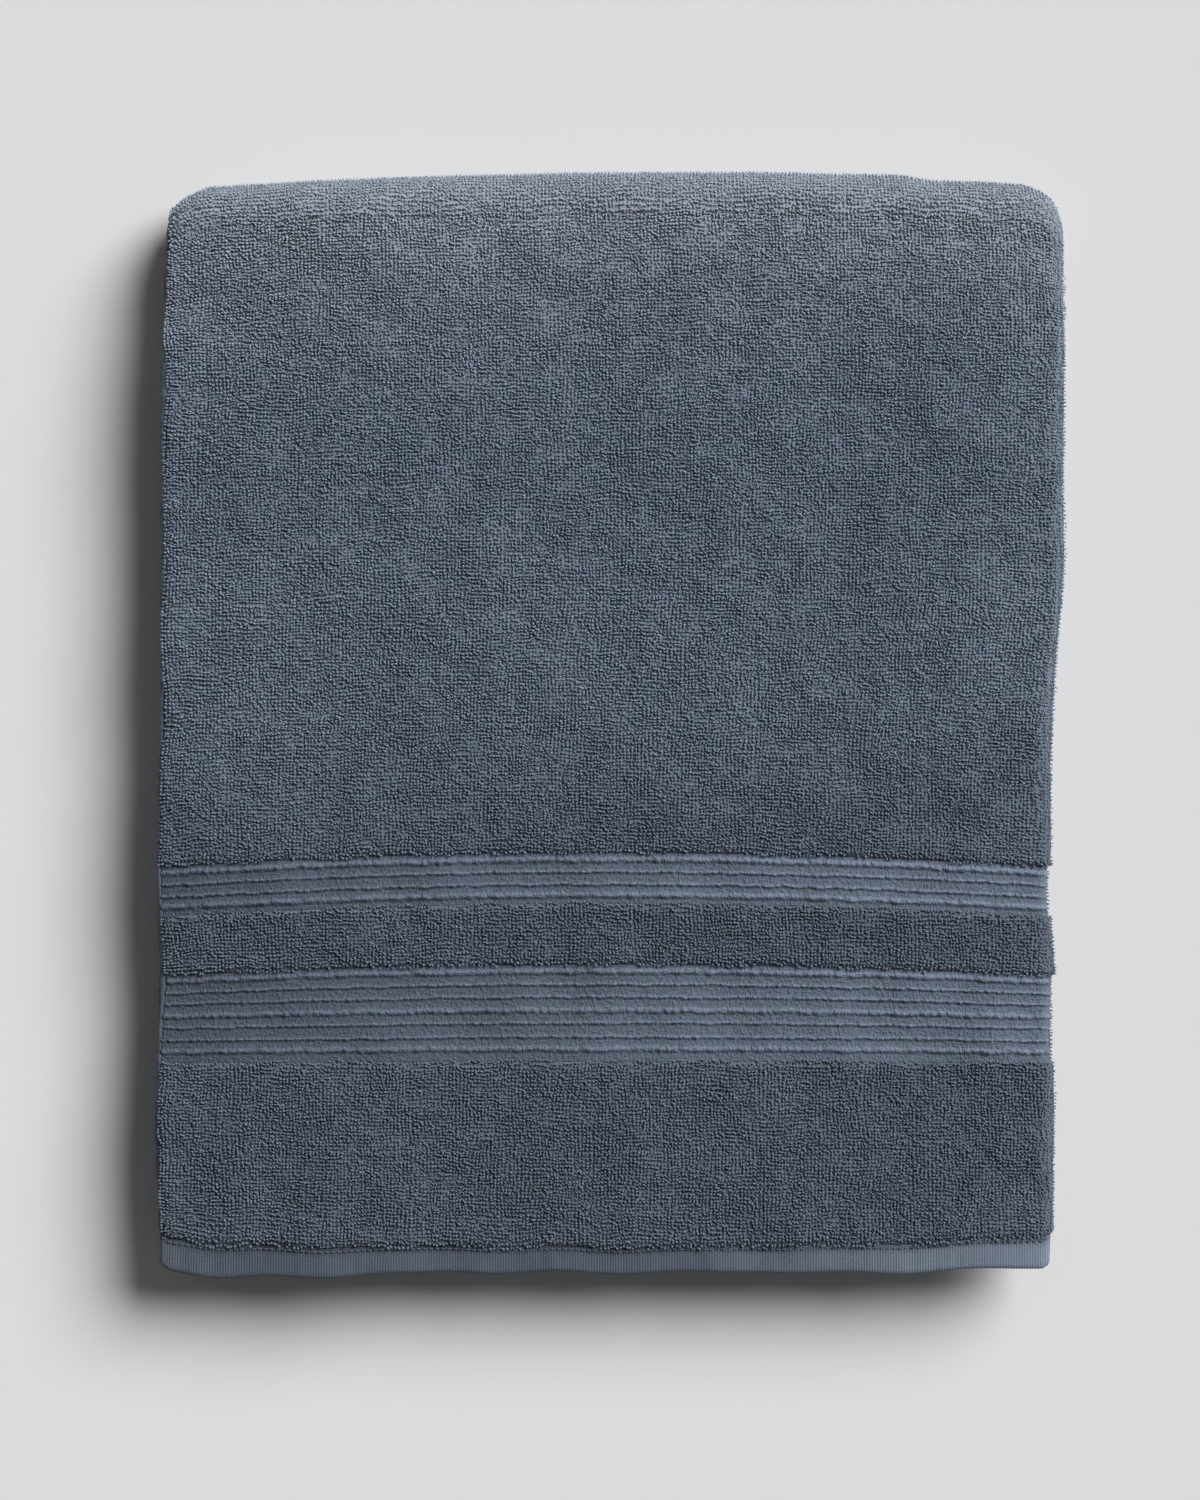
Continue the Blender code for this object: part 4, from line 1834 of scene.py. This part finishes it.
    def build_stitches(self, leaf: str) -> None:
        """Makes the row of stitches that holds a hem down: short bars of thread, end to end.

        Args:
            leaf: Which leaf's hem it is.
        """
        node = f"{leaf}_hem_stitching"
        low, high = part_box(node)
        along = self.plan.along_top if leaf == TOP_LEAF else self.plan.along_inner
        a = np.arange(1.5 * MM, self.plan.across - 1.5 * MM, self.stitch_pitch)
        s = np.full_like(a, along((low.y + high.y) / 2))
        n = np.full_like(a, HemWeave(0.0, 1.0).base + 0.1 * MM)
        places, normals = self.drape.place(s, a, n), self.drape.normals(s, a, n)
        count = len(a)
        spots = np.stack([0.02 + 0.95 * np.arange(count) / count, np.full(count, 0.4), np.zeros(count)], -1)
        bar = Stitch(0.42 * self.stitch_pitch, 0.34 * MM).build()
        points = ScatterPoints(places, normals, np.zeros(count), np.ones(count), np.full(count, 0.5), spots)
        values = {
            "Size": (1.0, 1.0, 1.0),
            "Size Spread": 0.04,
            "Turn Spread": 0.06,
            "Map Cell": (0.4 / count, 0.3, 0.0),
            "Seed": 9,
            "Finish": self.wardrobe.thread,
        }
        obj = self.scatter.run(f"{node}_row", points, bar, values)
        self.dress(obj, self.wardrobe.thread)
        self.follow(obj, TOP_LEAF if leaf == TOP_LEAF else BASE)
        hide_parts(node)
        bpy.data.objects.remove(bar)

    def build(self) -> None:
        """Makes every piece of the towel."""
        self.loop = YarnLoop().build()
        self.scatter = ScatterTree("stand_loops")
        plan = self.plan
        back_start, back_end, front_start, front_end = plan.breaks
        reached, side = self.reached(), plan.arm - self.side_overlap
        row_end = plan.along_bottom(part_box("bottom_leaf_terry")[0].y)
        bottom_loops = Pile(self.drape, back_end, row_end, side, reached, 500)
        front_loops = Pile(self.drape, front_start, front_end, self.first_loop, reached, 520)
        back_loops = Pile(self.drape, back_start, back_end, self.first_loop, reached, 540, row_share=0.90)
        bottom_start = back_end + 0.02 * MM
        for name, node, start, end, body, loops, row in (
            ("bottom_leaf_cloth", "bottom_leaf_terry", bottom_start, row_end, BASE, bottom_loops, 7.0 * MM),
            ("front_fold_cloth", "front_fold", front_start, front_end, BASE, front_loops, 1.5 * MM),
            ("back_fold_cloth", "back_fold", back_start, back_end, "fold", back_loops, 2.0 * MM),
        ):
            self.build_plain(name, node, start, end, body, loops, row)
        for leaf in ("inner_leaf", TOP_LEAF):
            for zone in Zone:
                self.build_zone(leaf, zone)
            self.build_stitches(leaf)
        hem_top = plan.along_top(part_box("top_leaf_end_hem")[1].y)
        hem_inner = plan.along_inner(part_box("inner_leaf_end_hem")[0].y)
        for outer, upper, label in ((True, "upper", "outer"), (False, "lower", "inner")):
            self.build_edge(f"top_leaf_selvedge_{upper}", hem_top, back_start, outer, TOP_LEAF)
            self.build_edge(f"back_fold_selvedge_{label}", back_start, back_end, outer, "fold")
            self.build_edge(f"base_selvedge_{label}", back_end, hem_inner, outer, BASE)
        bpy.data.objects.remove(self.loop)


# --------------------------------------------------------------------------- studio


@dataclass(frozen=True)
class Studio:
    """The floor, the light and the camera."""

    centre_x: float = -5.3 * MM
    centre_y: float = -12.7 * MM
    view_height: float = 633.2 * MM
    distance: float = 2.0
    light_from: tuple[float, float, float] = (34.3, 30.2, 40.5)
    sun_strength: float = 3.72
    sun_spread: float = 38.0
    sky: float = 0.10

    def build(self) -> None:
        """Makes all of it."""
        self.floor()
        self.lights()
        self.camera()

    def floor(self) -> None:
        """Makes the floor, a wide flat slab."""
        mesh = bpy.data.meshes.new("studio_floor")
        half, drop = 6.0, 0.05
        corners = [(x * half, y * half, -0.0002) for x, y in ((-1, -1), (1, -1), (1, 1), (-1, 1))]
        below = [(x, y, z - drop) for x, y, z in corners]
        faces = [(0, 1, 2, 3), (7, 6, 5, 4)] + [(k, k + 4, (k + 1) % 4 + 4, (k + 1) % 4) for k in range(4)]
        mesh.from_pydata(corners + below, [], faces)
        mesh.materials.append(FloorFinish().make())
        linked("studio_floor", mesh)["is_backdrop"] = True

    def lights(self) -> None:
        """Makes one broad key light from the back right and a faint even sky."""
        data = bpy.data.lights.new("key_light", "SUN")
        data.energy = self.sun_strength
        data.angle = math.radians(self.sun_spread)
        key = linked("key_light", data)
        key.rotation_euler = Vector(self.light_from).to_track_quat("Z", "Y").to_euler()
        world = bpy.data.worlds.new("studio")
        world.use_nodes = True
        bench = Bench(world.node_tree)
        sky = bench.add("ShaderNodeBackground", None, {"Color": (1.0, 1.0, 1.0, 1.0), "Strength": self.sky})
        bench.add("ShaderNodeOutputWorld", None, {"Surface": sky.outputs[0]})
        bpy.context.scene.world = world
        bpy.context.scene.view_settings.view_transform = "Standard"

    def camera(self) -> None:
        """Hangs the camera straight over the towel."""
        data = bpy.data.cameras.new("camera")
        data.sensor_fit = "AUTO"
        data.lens = data.sensor_width * self.distance / self.view_height
        obj = linked("camera", data)
        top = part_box("top_leaf_terry_field")[1].z
        obj.location = (self.centre_x, self.centre_y, top + self.distance)
        bpy.context.scene.camera = obj


def main() -> None:
    """Builds the studio and the towel."""
    logging.basicConfig(level=logging.INFO, format="%(name)s: %(message)s")
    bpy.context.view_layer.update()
    Studio().build()
    plan = FoldPlan.from_frame()
    towel = Towel(plan, Drape.from_frame(plan), Wardrobe.make())
    towel.build()
    LOG.info("%d pieces", len(towel.made))


if __name__ == "__main__":
    main()
